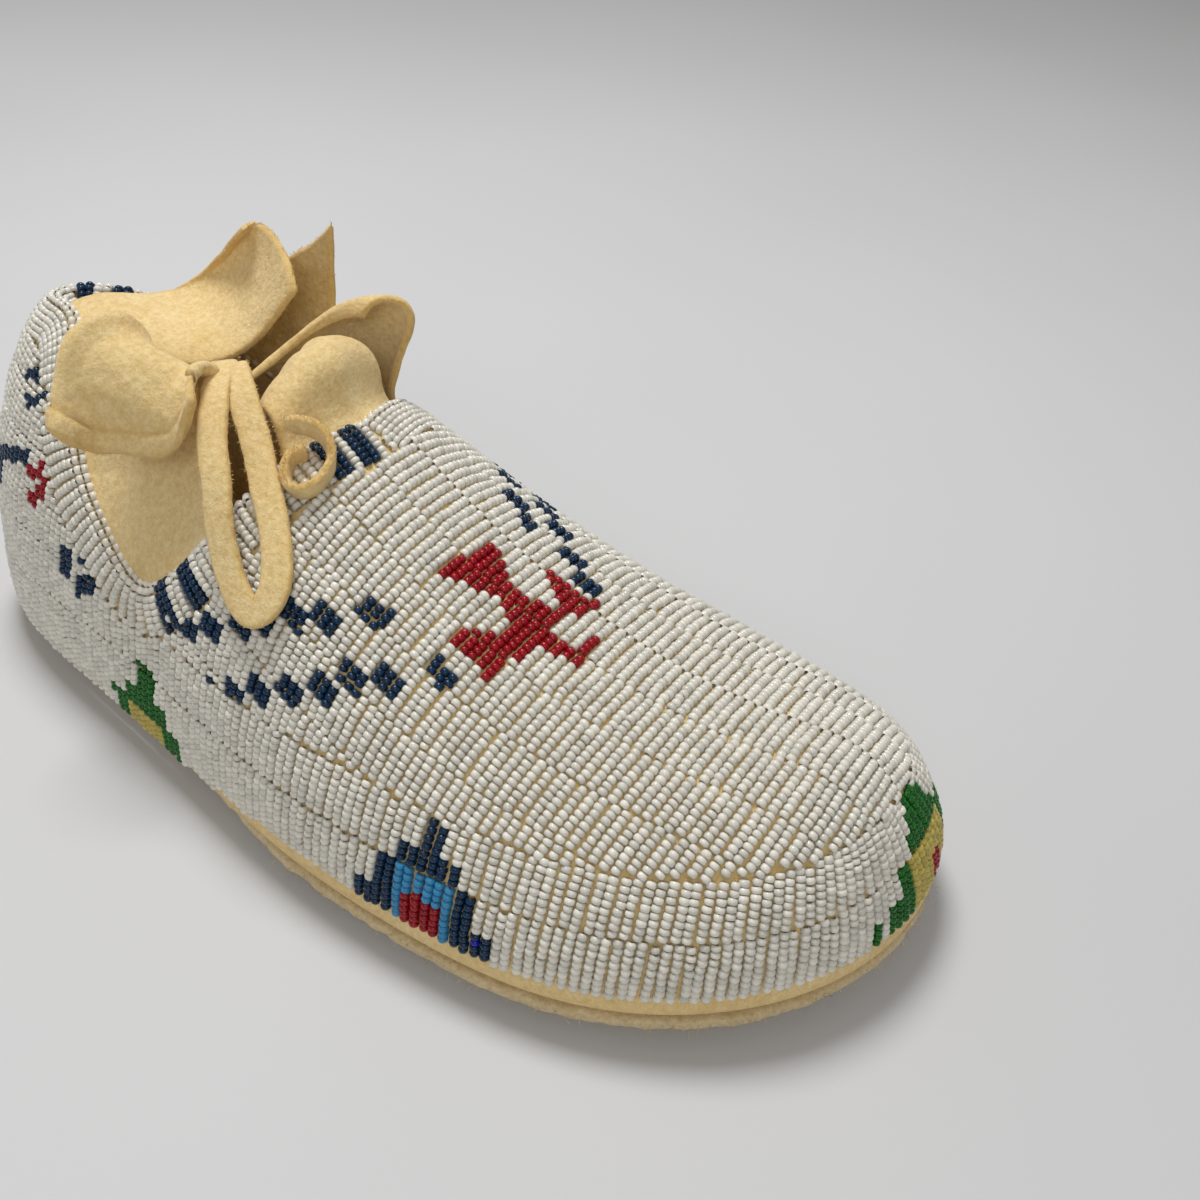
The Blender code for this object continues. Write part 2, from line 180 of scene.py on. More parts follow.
def surface(turn, angle, grow):
    """Point of the upper: rib angle 0 at the sole edge, a quarter turn on the middle line."""
    turn = np.asarray(turn, float)
    angle = np.asarray(angle, float)
    edge = OUTLINE_AT(turn)
    middle = middle_line(edge[..., 0])
    reach = np.cos(angle).clip(0) ** (2 / SECTION_POWER)
    rise = np.sin(angle) ** (2 / SECTION_POWER)
    plan = middle + (edge + outward(turn) * np.asarray(grow)[..., None] - middle) * reach[..., None]
    height = edge_height(edge[..., 0]) + (MIDDLE_HEIGHT_AT(plan[..., 0]) + grow) * rise
    return np.concatenate([plan, height[..., None] + FIT], axis=-1)


def station_turns():
    """Turns at even steps from heel to toe on the outer side, and across from them on the inner."""
    dense = np.linspace(-0.1, 0.6, 20001)
    x = OUTLINE_AT(dense)[:, 0]
    heel, toe = dense[:6000][np.argmin(x[:6000])], dense[np.argmax(x)]
    outer = np.linspace(heel, toe, STATIONS + 1)
    inner_dense = np.linspace(toe, 1 + heel, 20001)
    inner_x = OUTLINE_AT(inner_dense)[:, 0]
    return outer, np.interp(-OUTLINE_AT(outer)[:, 0], -inner_x, inner_dense)


OUTER_TURNS, INNER_TURNS = station_turns()
TOE_TURN = OUTER_TURNS[-1]


def top_of(share, side):
    """Turn and rib angle at the edge of the opening, for shares from the heel (0) to the throat (1)."""
    share = np.asarray(share, float)
    row = OPENING_AT(share)
    turns = OUTER_TURNS if side > 0 else INNER_TURNS
    turn = np.interp(share * THROAT_STATION, np.arange(STATIONS + 1), turns)
    return turn + side * row[..., 0], row[..., 1 if side > 0 else 2].clip(0, np.pi / 2)


def inside_ends(angle):
    """Rib angle kept off the sole edge and the middle line."""
    return np.clip(angle, LEAST_ANGLE, MOST_ANGLE)


def normal_at(turn, angle):
    """Outward normal of the upper."""
    angle = inside_ends(angle)
    point = surface(turn, angle, 0.0)
    wide = surface(turn + TURN_STEP, angle, 0.0) - surface(turn - TURN_STEP, angle, 0.0)
    rise = surface(turn, angle + ANGLE_STEP, 0.0) - surface(turn, angle - ANGLE_STEP, 0.0)
    normal = unit(np.cross(wide, rise))
    centre = middle_line(OUTLINE_AT(turn)[..., 0])
    out = np.concatenate([point[..., :2] - centre, 0.02 + 0 * point[..., 2:]], axis=-1)
    return normal * np.sign((normal * out).sum(axis=-1, keepdims=True))


# Distances up the ribs: a table over turns and rib angles
TURN_ROWS = 480
ANGLE_COLUMNS = 160
TABLE_ANGLES = np.linspace(0, np.pi / 2, ANGLE_COLUMNS + 1)
RIB_ARCS = walked_along(
    surface(np.linspace(0, 1, TURN_ROWS + 1)[:, None], TABLE_ANGLES[None, :], 0.0), axis=1
)


def rib_row(turn):
    """Table row of arcs at a turn, blended between its neighbours."""
    place = (np.asarray(turn, float) % 1) * TURN_ROWS
    low = np.minimum(place.astype(int), TURN_ROWS - 1)
    part = (place - low)[..., None]
    return RIB_ARCS[low] * (1 - part) + RIB_ARCS[low + 1] * part


def arc_of(turn, angle):
    """Distance up the rib from the sole edge."""
    rows = rib_row(turn)
    place = np.clip(angle / (np.pi / 2), 0, 1) * ANGLE_COLUMNS
    low = np.minimum(place.astype(int), ANGLE_COLUMNS - 1)
    part = place - low
    picked = np.take_along_axis(rows, low[..., None], -1)[..., 0]
    after = np.take_along_axis(rows, low[..., None] + 1, -1)[..., 0]
    return picked * (1 - part) + after * part


def angle_at(turn, arc):
    """Rib angle that lies this far up the rib."""
    rows = np.atleast_2d(rib_row(turn))
    arc = np.broadcast_to(arc, rows.shape[:1])
    return np.array([np.interp(a, row, TABLE_ANGLES) for a, row in zip(arc, rows)])


def of_plan(x, y):
    """Turn and rib angle of the surface's point over plan points, for the top of the shoe."""
    x, y = np.broadcast_arrays(np.asarray(x, float), np.asarray(y, float))
    turns = np.linspace(TOE_TURN - 0.5, TOE_TURN + 0.5, 1201)
    edge = OUTLINE_AT(turns)
    middle = middle_line(edge[:, 0])
    spoke = edge - middle
    turn, angle = np.zeros(x.size), np.zeros(x.size)
    for n, point in enumerate(np.column_stack([x.ravel(), y.ravel()])):
        off = point - middle
        turned = spoke[:, 0] * off[:, 1] - spoke[:, 1] * off[:, 0]
        ahead = (spoke * off).sum(axis=1) > 0
        i = np.nonzero((turned[:-1] * turned[1:] <= 0) & ahead[:-1])[0]
        part = (turned[i] / (turned[i] - turned[i + 1] + 1e-18))[:, None]
        mid = middle[i] + (middle[i + 1] - middle[i]) * part
        rim = edge[i] + (edge[i + 1] - edge[i]) * part
        reach = np.linalg.norm(point - mid, axis=1) / np.linalg.norm(rim - mid, axis=1)
        within = np.nonzero(reach <= 1)[0]
        if not len(within):
            turn[n], angle[n] = np.nan, np.nan
            continue
        k = within[0]
        turn[n] = turns[i[k]] + (turns[i[k] + 1] - turns[i[k]]) * part[k, 0]
        angle[n] = np.arccos(reach[k] ** (SECTION_POWER / 2))
    return turn.reshape(x.shape), angle.reshape(x.shape)


# Beads: sizes, and how they are strung
BEAD_ACROSS = 0.0021
BEAD_ALONG = 0.00142
STRING_PITCH = 0.00222
BEAD_SINK = 0.00095
HUMP = 0.00027
BORDER_LANES = ((0.0055, 9), (0.01855, 8))
BORDER_TOP = 0.0300
BORDER_CLEAR = 0.0004
REAR_END = 0.012
REAR_FADE = 0.050
QUARTER_BEADS = 7
QUARTER_LANES = 6
BAND_BEADS = 6
VAMP_BEADS = 8
VAMP_LANES = range(-6, 7)
VAMP_CLEAR = 0.003
VAMP_LAP = -0.010
LANE_GAP = 0.00012
LANE_SHIFT = (0.0, 0.4, 0.1, 0.5, 0.25)
ARCHING = 2.2
BEADS_A_PIECE = 2400

# Where the vamp's middle line starts and ends, and how far out its strings are looked for
VAMP_START = -0.045
VAMP_END = 0.113
VAMP_REACH = 0.056
STRING_REACH = 0.014

# The rim of the opening: its roll, and the stretch of the band at the heel that runs on inwards
ROLL_RADIUS = 0.0018
FULL_BEND = 2.2
HEEL_SPOT = 0.168
HEEL_REACH = 0.034
OPENING_REAR = -0.085
OPENING_FRONT = -0.035
OPENING_MIDDLE = -0.002

# How close two beads may lie, in bead sizes, within a region and between regions
BEAD_SEARCH = 0.0019
CLOSE_ACROSS = 0.88
CLOSE_IN_REGION = 0.35
CLOSE_BETWEEN = 0.72

COLOURS = {
    "W": ("bead_white", (0.74, 0.71, 0.63), 0.28, 0.5),
    "B": ("bead_dark_blue", (0.001, 0.022, 0.062), 0.22, 0.12),
    "L": ("bead_light_blue", (0.035, 0.24, 0.46), 0.25, 0.2),
    "C": ("bead_bright_blue", (0.004, 0.008, 0.36), 0.2, 0.25),
    "R": ("bead_red", (0.30, 0.001, 0.008), 0.25, 0.12),
    "G": ("bead_green", (0.001, 0.115, 0.003), 0.22, 0.12),
    "Y": ("bead_yellow", (0.52, 0.42, 0.09), 0.25, 0.2),
}

# Motifs in millimetres: colour, then corners. On the vamp the first number runs along the middle
# line and the second across it; on the sides they run round the sole edge from the toe, outer side
# first, and up from it; on the band they run round the opening from the throat, and away from it.
def steps(*centres):
    """Blue blocks, one at each centre."""
    corners = ((-3.3, -2.2), (3.3, -2.2), (3.3, 2.2), (-3.3, 2.2))
    return tuple(("B", *((x + along, y + across) for along, across in corners)) for x, y in centres)


def bars(colour, *spans):
    """Upright bars: each from one place to another, as high as the third number."""
    return tuple((colour, (a, -9), (b, -9), (b, top), (a, top)) for a, b, top in spans)


def mirrored(motifs):
    """The same shapes on the inner side."""
    return tuple((colour, *((-x, y) for x, y in corners)) for colour, *corners in motifs)


OUTER_TRACKS = steps(
    (25.6, -60), (31.6, -54.8), (37.8, -50), (43.9, -45), (50, -40), (56.1, -34.9), (62.2, -27.4),
    (37.6, -67.5), (43.6, -62.2), (49.9, -56.9), (56.2, -50.8), (62.4, -45.2),
    (68.6, -39.8), (74.6, -34.6), (80.6, -27.4),
)
INNER_TRACKS = steps(
    (37.8, 42.4), (43.9, 36.8), (50, 31.6), (56.6, 24.6), (63.3, 18.2), (68.8, 14.2), (43.8, 47.5),
    (50, 42), (56.4, 36), (62.6, 30.4), (68.6, 25.4), (74.6, 20.4), (80.8, 15.4), (86.8, 10.2),
)
RED_FIGURE = (
    ("R", (66.6, -13), (68.8, 2.2), (72.4, 1.6), (79.6, -4), (79.6, -7.2)),
    ("R", (79.4, -7.4), (80.2, -3.4), (84.4, -1.8), (88.4, -2), (91, -6), (89.8, -12), (86.4, -11.4)),
    ("R", (75.4, -20.6), (86.6, -11), (91, -11.8), (88.2, -22.6)),
    ("R", (86.6, -6), (88.6, 0.4), (91.6, 0.4), (91.6, -7)),
    ("R", (77.6, 7.2), (93, 8), (91.6, -1.6)),
    ("R", (89.4, -8.6), (94, -5.2), (98, -5.4), (98.8, -0.4), (101.2, -2.4), (98.6, -9), (92, -9.6)),
)
VAMP_MOTIFS = (*OUTER_TRACKS, *INNER_TRACKS, *RED_FIGURE)
BLUE_STEPS = (
    *bars("B", (96, 127.2, 11.3), (100.4, 122.7, 18.4), (104.9, 118.3, 23.3), (109.3, 113.8, 28.6)),
    *bars("L", (104.9, 118.3, 18.4)),
    *bars("R", (107.1, 116, 13.2)),
    ("C", (98.3, 8.4), (100.3, 8.4), (100.3, 9.9), (98.3, 9.9)),
)
REAR_STEPS = (
    *bars("G", (183, 207.6, 8.4), (187.5, 203, 12.7), (191.9, 198.6, 19.8)),
    *bars("Y", (189.7, 201, 7)),
)
TOE_STEPS = (
    *bars("G", (-30.8, -27.2, 10), (-27.2, 13.6, 12), (-23.5, 9, 18.4), (15, 18.2, 11.4)),
    *bars("G", (-18, 3, 23), (-14.5, -0.4, 27.6), (-11, -3.6, 33)),
    *bars("Y", (-17.4, 3.4, 18.4)),
    *bars("R", (-10.6, -4.6, 12.8)),
)
QUARTER_FIGURES = (
    ("B", (260, 60.4), (258, 63.8), (249, 69), (246.6, 65.4)),
    ("B", (248, 66.4), (238.6, 69.6), (238.6, 64.6), (247.5, 62)),
    ("B", (254, 58.8), (246, 62.6), (246.4, 59.6), (252, 56.2)),
    ("B", (270, 31), (270, 43), (260, 42.4), (258, 36), (262, 31)),
    ("B", (262, 39.4), (245, 45.4), (245, 49), (262, 43)),
    ("R", (240.4, 47.4), (232, 50.4), (232, 52.6), (240.4, 49.4)),
    ("R", (239.4, 49), (236.4, 49), (235.8, 42.8), (238.2, 42.8)),
    ("R", (245.2, 45.8), (239.4, 46.8), (239.4, 44.6), (245.2, 43.2)),
    ("R", (237.6, 44), (243, 38.8), (240.8, 36.6), (235.8, 41.4)),
    ("B", (228, 27), (228, 34), (221.4, 35.8), (221.4, 30.2), (224.5, 26)),
    ("B", (220.8, 32.4), (220.8, 36.2), (209.6, 41.6), (209.6, 36)),
    ("B", (220.8, 24), (220.8, 29.6), (213.2, 33), (213.2, 27.6)),
)
SIDE_MOTIFS = (
    *BLUE_STEPS, *mirrored(BLUE_STEPS), *REAR_STEPS, *mirrored(REAR_STEPS), *TOE_STEPS,
    *QUARTER_FIGURES, *mirrored(QUARTER_FIGURES),
)
BAND_MOTIFS = bars(
    "B", (57.6, 62, 9), (49, 53.2, 9), (8.9, 13.3, 9), (2.2, 6.7, 9), (163.6, 168, 9), (171.4, 175.8, 9),
    (238.6, 243, 9), (247.2, 251.6, 9),
)


class Bead:
    """One bead: its string, place, axis, normal, chart and address on the chart."""

    def __init__(self, region, string, point, along, normal, chart, address):
        self.region, self.string = region, string
        self.point, self.along, self.normal = point, along, normal
        self.chart, self.address = chart, address
        self.colour = "W"


BEADS = []


def opening_line(count=480):
    """Turns, rib angles and points on the edge of the opening, once round from the throat."""
    share = np.linspace(0, 1, count + 1)
    turns, angles = np.zeros(count + 1), np.zeros(count + 1)
    outer = share <= 0.5
    turns[outer], angles[outer] = top_of(1 - 2 * share[outer], 1)
    turns[~outer], angles[~outer] = top_of(2 * share[~outer] - 1, -1)
    return turns, angles, surface(turns, angles, 0.0)


EDGE_TURN, EDGE_ANGLE, EDGE_POINTS = opening_line()


def edge_distance(points):
    """Distance of each point from the edge of the opening."""
    gap = np.asarray(points)[:, None] - EDGE_POINTS[None]
    return np.sqrt((gap**2).sum(axis=-1)).min(axis=1)


def opening_angle(turn):
    """Rib angle at the edge of the opening for each turn, or none ahead of the throat."""
    turn = np.asarray(turn, float) % 1
    order = np.argsort(EDGE_TURN % 1)
    keys, values = (EDGE_TURN % 1)[order], EDGE_ANGLE[order]
    found = np.interp(turn, keys, values, period=1)
    first, last = OUTER_TURNS[THROAT_STATION] % 1, INNER_TURNS[THROAT_STATION] % 1
    return np.where((turn > first) & (turn < last), np.pi, found)


SOLE_TURNS = np.linspace(0, 1, 721)
SOLE_WALK = walked_along(surface(SOLE_TURNS, np.zeros(721), 0.0))
TOE_WALK = np.interp(TOE_TURN, SOLE_TURNS, SOLE_WALK)


def side_address(turn, arc):
    """Millimetres back from the toe along the sole edge, the outer side positive, and up from it."""
    back = TOE_WALK - np.interp(np.asarray(turn) % 1, SOLE_TURNS, SOLE_WALK)
    back = np.where(back < -SOLE_WALK[-1] / 2, back + SOLE_WALK[-1], back)
    return np.column_stack([back, arc]) * 1000


def lay_string(region, string, turns, angles, chart, addresses, hump):
    """Beads at the given turns and rib angles, strung one after another."""
    angles = inside_ends(angles)
    point, normal = surface(turns, angles, 0.0), normal_at(turns, angles)
    along = np.gradient(point, axis=0)
    along = unit(along - normal * (along * normal).sum(axis=1, keepdims=True))
    side = np.cross(normal, along)
    wander = RANDOM.normal(0, 0.00007) + RANDOM.normal(0, 0.00006, (len(turns), 1))
    lift = hump - BEAD_SINK + RANDOM.normal(0, 0.00004, len(turns))
    point = point + creased(point, turns, angles) + normal * lift[:, None] + side * wander
    for k in range(len(turns)):
        BEADS.append(Bead(region, string, point[k], along[k], normal[k], chart, addresses[k]))


def lane_hump(count):
    """Height of each bead in a string that arches between its stitches."""
    k = (np.arange(count) + 0.5) / count * 2 - 1
    return HUMP * (1 - k * k)


def spread_turns(arc):
    """Turns of strings at an even pitch along the line that lies this far up the ribs."""
    walked = walked_along(surface(SOLE_TURNS, angle_at(SOLE_TURNS, arc), 0.0))
    count = int(round(walked[-1] / STRING_PITCH))
    turns = np.interp((np.arange(count) + 0.5) / count * walked[-1], walked, SOLE_TURNS)
    return turns + RANDOM.normal(0, 0.00012, count)


def rib_string(region, string, turn, arcs, lean, hump):
    """A string up a rib, as far as the opening's band lets it."""
    angles = angle_at(np.full(len(arcs), turn), arcs)
    turns = turn + lean * np.linspace(-0.5, 0.5, len(arcs))
    keep = angles < opening_angle(turns) - 0.02
    keep &= edge_distance(surface(turns, angles, 0.0)) > BORDER_CLEAR
    if keep.sum() > 1:
        address = side_address(turns[keep], arcs[keep])
        lay_string(region, string, turns[keep], angles[keep], "side", address, hump[keep])


def rear_share(x):
    """1 at the rear, where the beads come down over the sole, and 0 at the front."""
    share = np.clip((REAR_END - x) / REAR_FADE, 0, 1)
    return share * share * (3 - 2 * share)


def border():
    """Two lanes all round, strung square to the sole edge."""
    for lane, (low, most) in enumerate(BORDER_LANES):
        for string, turn in enumerate(spread_turns(low + 0.5 * most * BEAD_ALONG)):
            number = most if RANDOM.random() < 0.88 else most - 1
            pitch = BEAD_ALONG * (most / number) ** 0.7 * (1 + RANDOM.normal(0, 0.006))
            lower = int(round(3 * rear_share(OUTLINE_AT(turn)[0]))) if lane == 0 else 0
            start = low - lower * pitch + RANDOM.normal(0, 0.00012)
            number += lower
            arcs = start + (np.arange(number) + 0.5) * pitch
            lean = RANDOM.normal(0, 0.0003)
            rib_string(f"border_{lane}", string, turn, arcs, lean, lane_hump(number))


QUARTER_ENDS = (float(top_of(0.72, 1)[0]) % 1, float(top_of(0.74, -1)[0]) % 1)


def quarter_side(turn):
    """True behind the vamp."""
    return (turn < QUARTER_ENDS[0]) | (turn > QUARTER_ENDS[1])


def quarters():
    """Lanes above the border round the heel and both sides, strung square to the sole edge."""
    height = (QUARTER_BEADS + 0.3) * BEAD_ALONG * 1.02
    for lane in range(QUARTER_LANES):
        low = BORDER_TOP + 0.0001 + lane * height
        for string, turn in enumerate(spread_turns(low + 0.5 * height)):
            if quarter_side(turn):
                arcs = low + RANDOM.normal(0, 0.0001)
                arcs = arcs + (np.arange(QUARTER_BEADS) + 0.5) * BEAD_ALONG * 1.03
                lean = RANDOM.normal(0, 0.0003)
                rib_string(f"quarter_{lane}", string, turn, arcs, lean, lane_hump(QUARTER_BEADS))


def band():
    """One lane round the opening, strung square to its edge."""
    walked = walked_along(EDGE_POINTS)
    count = int(round(walked[-1] / STRING_PITCH))
    turns = np.unwrap(EDGE_TURN, period=1)
    for string in range(count):
        spot = (string + 0.5) / count * walked[-1]
        turn = np.interp(spot, walked, turns)
        angle = min(np.interp(spot, walked, EDGE_ANGLE), 1.56)
        i = int(np.clip(np.searchsorted(walked, spot) - 1, 1, len(walked) - 3))
        edge = unit(EDGE_POINTS[i + 2] - EDGE_POINTS[i - 1])
        inwards = level_inwards(turn, surface(turn, angle, 0.0))
        spots = []
        for k in range(BAND_BEADS):
            normal = normal_at(np.array([turn]), np.array([angle]))[0]
            across = unit(np.cross(edge, normal))
            across = -across if across @ inwards > 0 else across
            step = 0.55 * BEAD_ALONG if k == 0 else BEAD_ALONG
            low, high = turn - TURN_STEP / 2, turn + TURN_STEP / 2
            by_turn = (surface(high, angle, 0.0) - surface(low, angle, 0.0)) / TURN_STEP
            low, high = max(angle - ANGLE_STEP, LEAST_ANGLE), min(angle + ANGLE_STEP, 1.567)
            by_angle = (surface(turn, high, 0.0) - surface(turn, low, 0.0)) / (high - low)
            move = np.linalg.lstsq(np.column_stack([by_turn, by_angle]), across * step, rcond=None)[0]
            turn = turn + float(np.clip(move[0], -0.02, 0.02))
            angle = float(np.clip(angle + move[1], 0.05, 1.56))
            spots.append((turn, angle))
        spots = np.array(spots)
        address = np.column_stack([np.full(BAND_BEADS, spot), (np.arange(BAND_BEADS) + 0.5) * BEAD_ALONG])
        roll_over(string, spot, spots[:2])
        lay_string("band", string, spots[:, 0], spots[:, 1], "band", address * 1000, lane_hump(BAND_BEADS))


def roll_over(string, spot, first):
    """The inner end of a band string, which turns over the rim, and at the heel runs on inwards."""
    turns, angles = first[:, 0], inside_ends(first[:, 1])
    point, second = surface(turns, angles, 0.0)
    normal = normal_at(turns, angles)[0]
    inwards = unit(point - second - normal * ((point - second) @ normal))
    level = level_inwards(turns[0], point)
    heel = max(1 - ((spot - HEEL_SPOT) / HEEL_REACH) ** 2, 0)
    facing = 0.8 * np.array([0, 0, 1]) + 0.6 * level
    at_heel = np.arctan2(facing @ inwards, facing @ normal)
    most_bend = FULL_BEND + (at_heel - FULL_BEND) * heel
    middle = point - normal * (ROLL_RADIUS + BEAD_SINK) + inwards * 0.55 * BEAD_ALONG
    for k in range(3 + int(round(2 * heel))):
        walked = (k + 0.6) * BEAD_ALONG
        bend = min(walked / ROLL_RADIUS, most_bend)
        out = normal * np.cos(bend) + inwards * np.sin(bend)
        along = normal * np.sin(bend) - inwards * np.cos(bend)
        place = middle + out * (ROLL_RADIUS + RANDOM.normal(0, 0.00006))
        place = place - along * (walked - bend * ROLL_RADIUS)
        address = (spot * 1000, -(k + 0.5) * BEAD_ALONG * 1000)
        BEADS.append(Bead("band", string, place, along, out, "band", address))


def level_inwards(turn, point):
    """Level direction from a point of the rim towards the middle of the opening."""
    x = np.clip(OUTLINE_AT(turn)[0], OPENING_REAR, OPENING_FRONT)
    return unit((np.array([x, OPENING_MIDDLE, 0]) - point) * (1, 1, 0))


def vamp():
    """Lengthwise lanes over the vamp, each strung across the foot."""
    ridge_x = np.linspace(VAMP_START, VAMP_END, 633)
    ridge_y = MIDDLE_SIDE_AT(ridge_x)
    walked = walked_along(surface(*of_plan(ridge_x, ridge_y), 0.0))
    lane_width = VAMP_BEADS * BEAD_ALONG + LANE_GAP
    for string in range(int(walked[-1] / STRING_PITCH)):
        spot = (string + 0.5) * STRING_PITCH
        for lane in VAMP_LANES:
            moved = spot + (LANE_SHIFT[lane % 5] - 0.25) * STRING_PITCH + RANDOM.normal(0, 0.00007)
            x = np.interp(moved, walked, ridge_x)
            y = np.interp(moved, walked, ridge_y)
            v = (lane - 0.5) * lane_width + RANDOM.normal(0, 0.0001)
            v = v + (np.arange(VAMP_BEADS) + 0.5) * (lane_width - LANE_GAP) / VAMP_BEADS
            vamp_string(lane, string, spot, x, y, v)


def vamp_string(lane, string, spot, x, y, v):
    """One string of a lane, as far as the border, the quarters and the opening let it."""
    across = np.linspace(-VAMP_REACH, VAMP_REACH, 141)
    across = across[np.abs(across - 0.75 * v.mean()) < STRING_REACH]
    plan_x, plan_y = x - ARCHING * across**2, y + across
    turns, angles = of_plan(plan_x, plan_y)
    good = np.isfinite(turns)
    if good.sum() < 4:
        return
    arcs = vamp_arcs(x, y, across[good], turns[good], angles[good])
    inside = (v > arcs[0]) & (v < arcs[-1])
    if not inside.any():
        return
    found_x = np.interp(v[inside], arcs, plan_x[good])
    found_y = np.interp(v[inside], arcs, plan_y[good])
    turn, angle = (np.nan_to_num(found) for found in of_plan(found_x, found_y))
    keep = (arc_of(turn, angle) > BORDER_TOP - 0.0012) & (angle < opening_angle(turn) - 0.01)
    keep &= ~quarter_side((turn + VAMP_LAP) % 1) & ~quarter_side((turn - VAMP_LAP) % 1)
    keep &= edge_distance(surface(turn, angle, 0.0)) > VAMP_CLEAR
    if keep.sum() > 1:
        address = np.column_stack([np.full(len(v), spot), v])[inside][keep] * 1000
        hump = lane_hump(VAMP_BEADS)[inside][keep]
        lay_string(f"vamp_{lane}", string, turn[keep], angle[keep], "vamp", address, hump)


def vamp_arcs(x, y, across, turns, angles):
    """Distance over the surface from the middle line to each point of a stretch across the foot."""
    points = surface(turns, angles, 0.0)
    arcs = walked_along(points)
    start = across[np.argmin(np.abs(across))]
    if abs(start) < 0.0005:
        return arcs - np.interp(0, across, arcs)
    between = np.linspace(0, across[0], 24)
    t, a = of_plan(x - ARCHING * between**2, y + between)
    good = np.isfinite(t)
    out = walked_along(surface(t[good], a[good], 0.0))[-1]
    return arcs + np.sign(across[0]) * out


def inside_shape(address, corners):
    """True where an address lies in the shape with these corners."""
    x, y = address[:, 0], address[:, 1]
    found = np.zeros(len(address), bool)
    for (x0, y0), (x1, y1) in zip(corners, corners[1:] + corners[:1]):
        spans = (y0 > y) != (y1 > y)
        cross = x0 + (y - y0) * (x1 - x0) / (y1 - y0 if y1 != y0 else 1)
        found ^= spans & (x < cross)
    return found


def paint_motifs(beads):
    """Colours the beads whose addresses lie in a motif's shapes."""
    for chart, motifs in (("vamp", VAMP_MOTIFS), ("side", SIDE_MOTIFS), ("band", BAND_MOTIFS)):
        members = [bead for bead in beads if bead.chart == chart]
        address = np.array([bead.address for bead in members])
        for colour, *corners in motifs:
            for k in np.nonzero(inside_shape(address, corners))[0]:
                members[k].colour = colour


def thinned(beads):
    """Beads without those that would lie in an earlier one."""
    tree = kdtree.KDTree(len(beads))
    for n, bead in enumerate(beads):
        tree.insert(bead.point, n)
    tree.balance()
    dropped = set()
    for n, bead in enumerate(beads):
        if n in dropped:
            continue
        for place, other, gap in tree.find_range(bead.point, BEAD_SEARCH):
            if other <= n or other in dropped:
                continue
            same = beads[other].region == bead.region
            if same and beads[other].string == bead.string:
                continue
            step = beads[other].point - bead.point
            along = abs(step @ bead.along) / BEAD_ALONG
            across = np.linalg.norm(step - bead.along * (step @ bead.along))
            across = across / (CLOSE_ACROSS * BEAD_ACROSS)
            if along**2 + across**2 < (CLOSE_IN_REGION if same else CLOSE_BETWEEN):
                dropped.add(other)
    return [bead for n, bead in enumerate(beads) if n not in dropped]


def bead_template(sides=7, half_turn=2.1):
    """Upper part of a round bead about +X, open at its hole: points, quads."""
    rings = ((-0.5, 0.50), (-0.37, 0.88), (0.0, 1.0), (0.37, 0.88), (0.5, 0.50))
    angles = np.linspace(-half_turn, half_turn, sides + 1)
    points = [(x, r * np.sin(a) * 0.5, r * np.cos(a) * 0.5) for x, r in rings for a in angles]
    quads = []
    for ring in range(len(rings) - 1):
        for side in range(sides):
            a = ring * (sides + 1) + side
            quads.append((a, a + sides + 1, a + sides + 2, a + 1))
    return np.array(points), np.array(quads)


def placed(name, made):
    """A new object in the scene, with this mesh, lamp or camera."""
    piece = bpy.data.objects.new(name, made)
    bpy.context.scene.collection.objects.link(piece)
    return piece


def bead_meshes(beads, materials):
    """One mesh for each lot of beads."""
    groups = {}
    for bead in beads:
        groups.setdefault(bead.region.split("_")[0], []).append(bead)
    for name, members in groups.items():
        for number, start in enumerate(range(0, len(members), BEADS_A_PIECE), 1):
            bead_lot(f"beads_{name}_{number}", members[start : start + BEADS_A_PIECE], materials)


def bead_lot(name, members, materials):
    """One mesh with all of these beads, each a little different in size, set and tone."""
    points, quads = bead_template()
    letters = list(COLOURS)
    count = len(members)
    place = np.array([bead.point for bead in members])
    along = np.array([bead.along for bead in members])
    normal = np.array([bead.normal for bead in members])
    side = unit(np.cross(normal, along))
    along = along + side * RANDOM.normal(0, 0.06, (count, 1))
    along = unit(along + normal * RANDOM.normal(0, 0.06, (count, 1)))
    side = unit(np.cross(normal, along))
    normal = np.cross(along, side)
    length = BEAD_ALONG * RANDOM.normal(0.97, 0.06, (count, 1, 1)).clip(0.78, 1.08)
    wide = BEAD_ACROSS * RANDOM.normal(1.0, 0.04, (count, 1, 1)).clip(0.88, 1.07)
    world = (
        place[:, None]
        + along[:, None] * points[None, :, :1] * length
        + side[:, None] * points[None, :, 1:2] * wide
        + normal[:, None] * points[None, :, 2:] * wide
    ).reshape(-1, 3)
    faces = (quads[None] + (np.arange(count) * len(points))[:, None, None]).reshape(-1, 4)
    mesh = bpy.data.meshes.new(name)
    mesh.vertices.add(len(world))
    mesh.vertices.foreach_set("co", world.ravel())
    mesh.loops.add(faces.size)
    mesh.loops.foreach_set("vertex_index", faces.ravel().astype(np.int32))
    mesh.polygons.add(len(faces))
    mesh.polygons.foreach_set("loop_start", np.arange(0, faces.size, 4, dtype=np.int32))
    used = sorted({bead.colour for bead in members}, key=letters.index)
    for letter in used:
        mesh.materials.append(materials[letter])
    index = np.array([used.index(bead.colour) for bead in members], np.int32)
    mesh.polygons.foreach_set("material_index", np.repeat(index, len(quads)))
    mesh.polygons.foreach_set("use_smooth", np.ones(len(faces), bool))
    tones = np.repeat(RANDOM.beta(2.2, 1.6, count), len(points))
    layer = mesh.color_attributes.new("tone", "FLOAT_COLOR", "POINT")
    layer.data.foreach_set("color", np.column_stack([tones, tones, tones, np.ones(len(tones))]).ravel())
    mesh.update(calc_edges=True)
    mesh.validate()
    piece = placed(name, mesh)
    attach(piece, "root")
    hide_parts("beadwork")


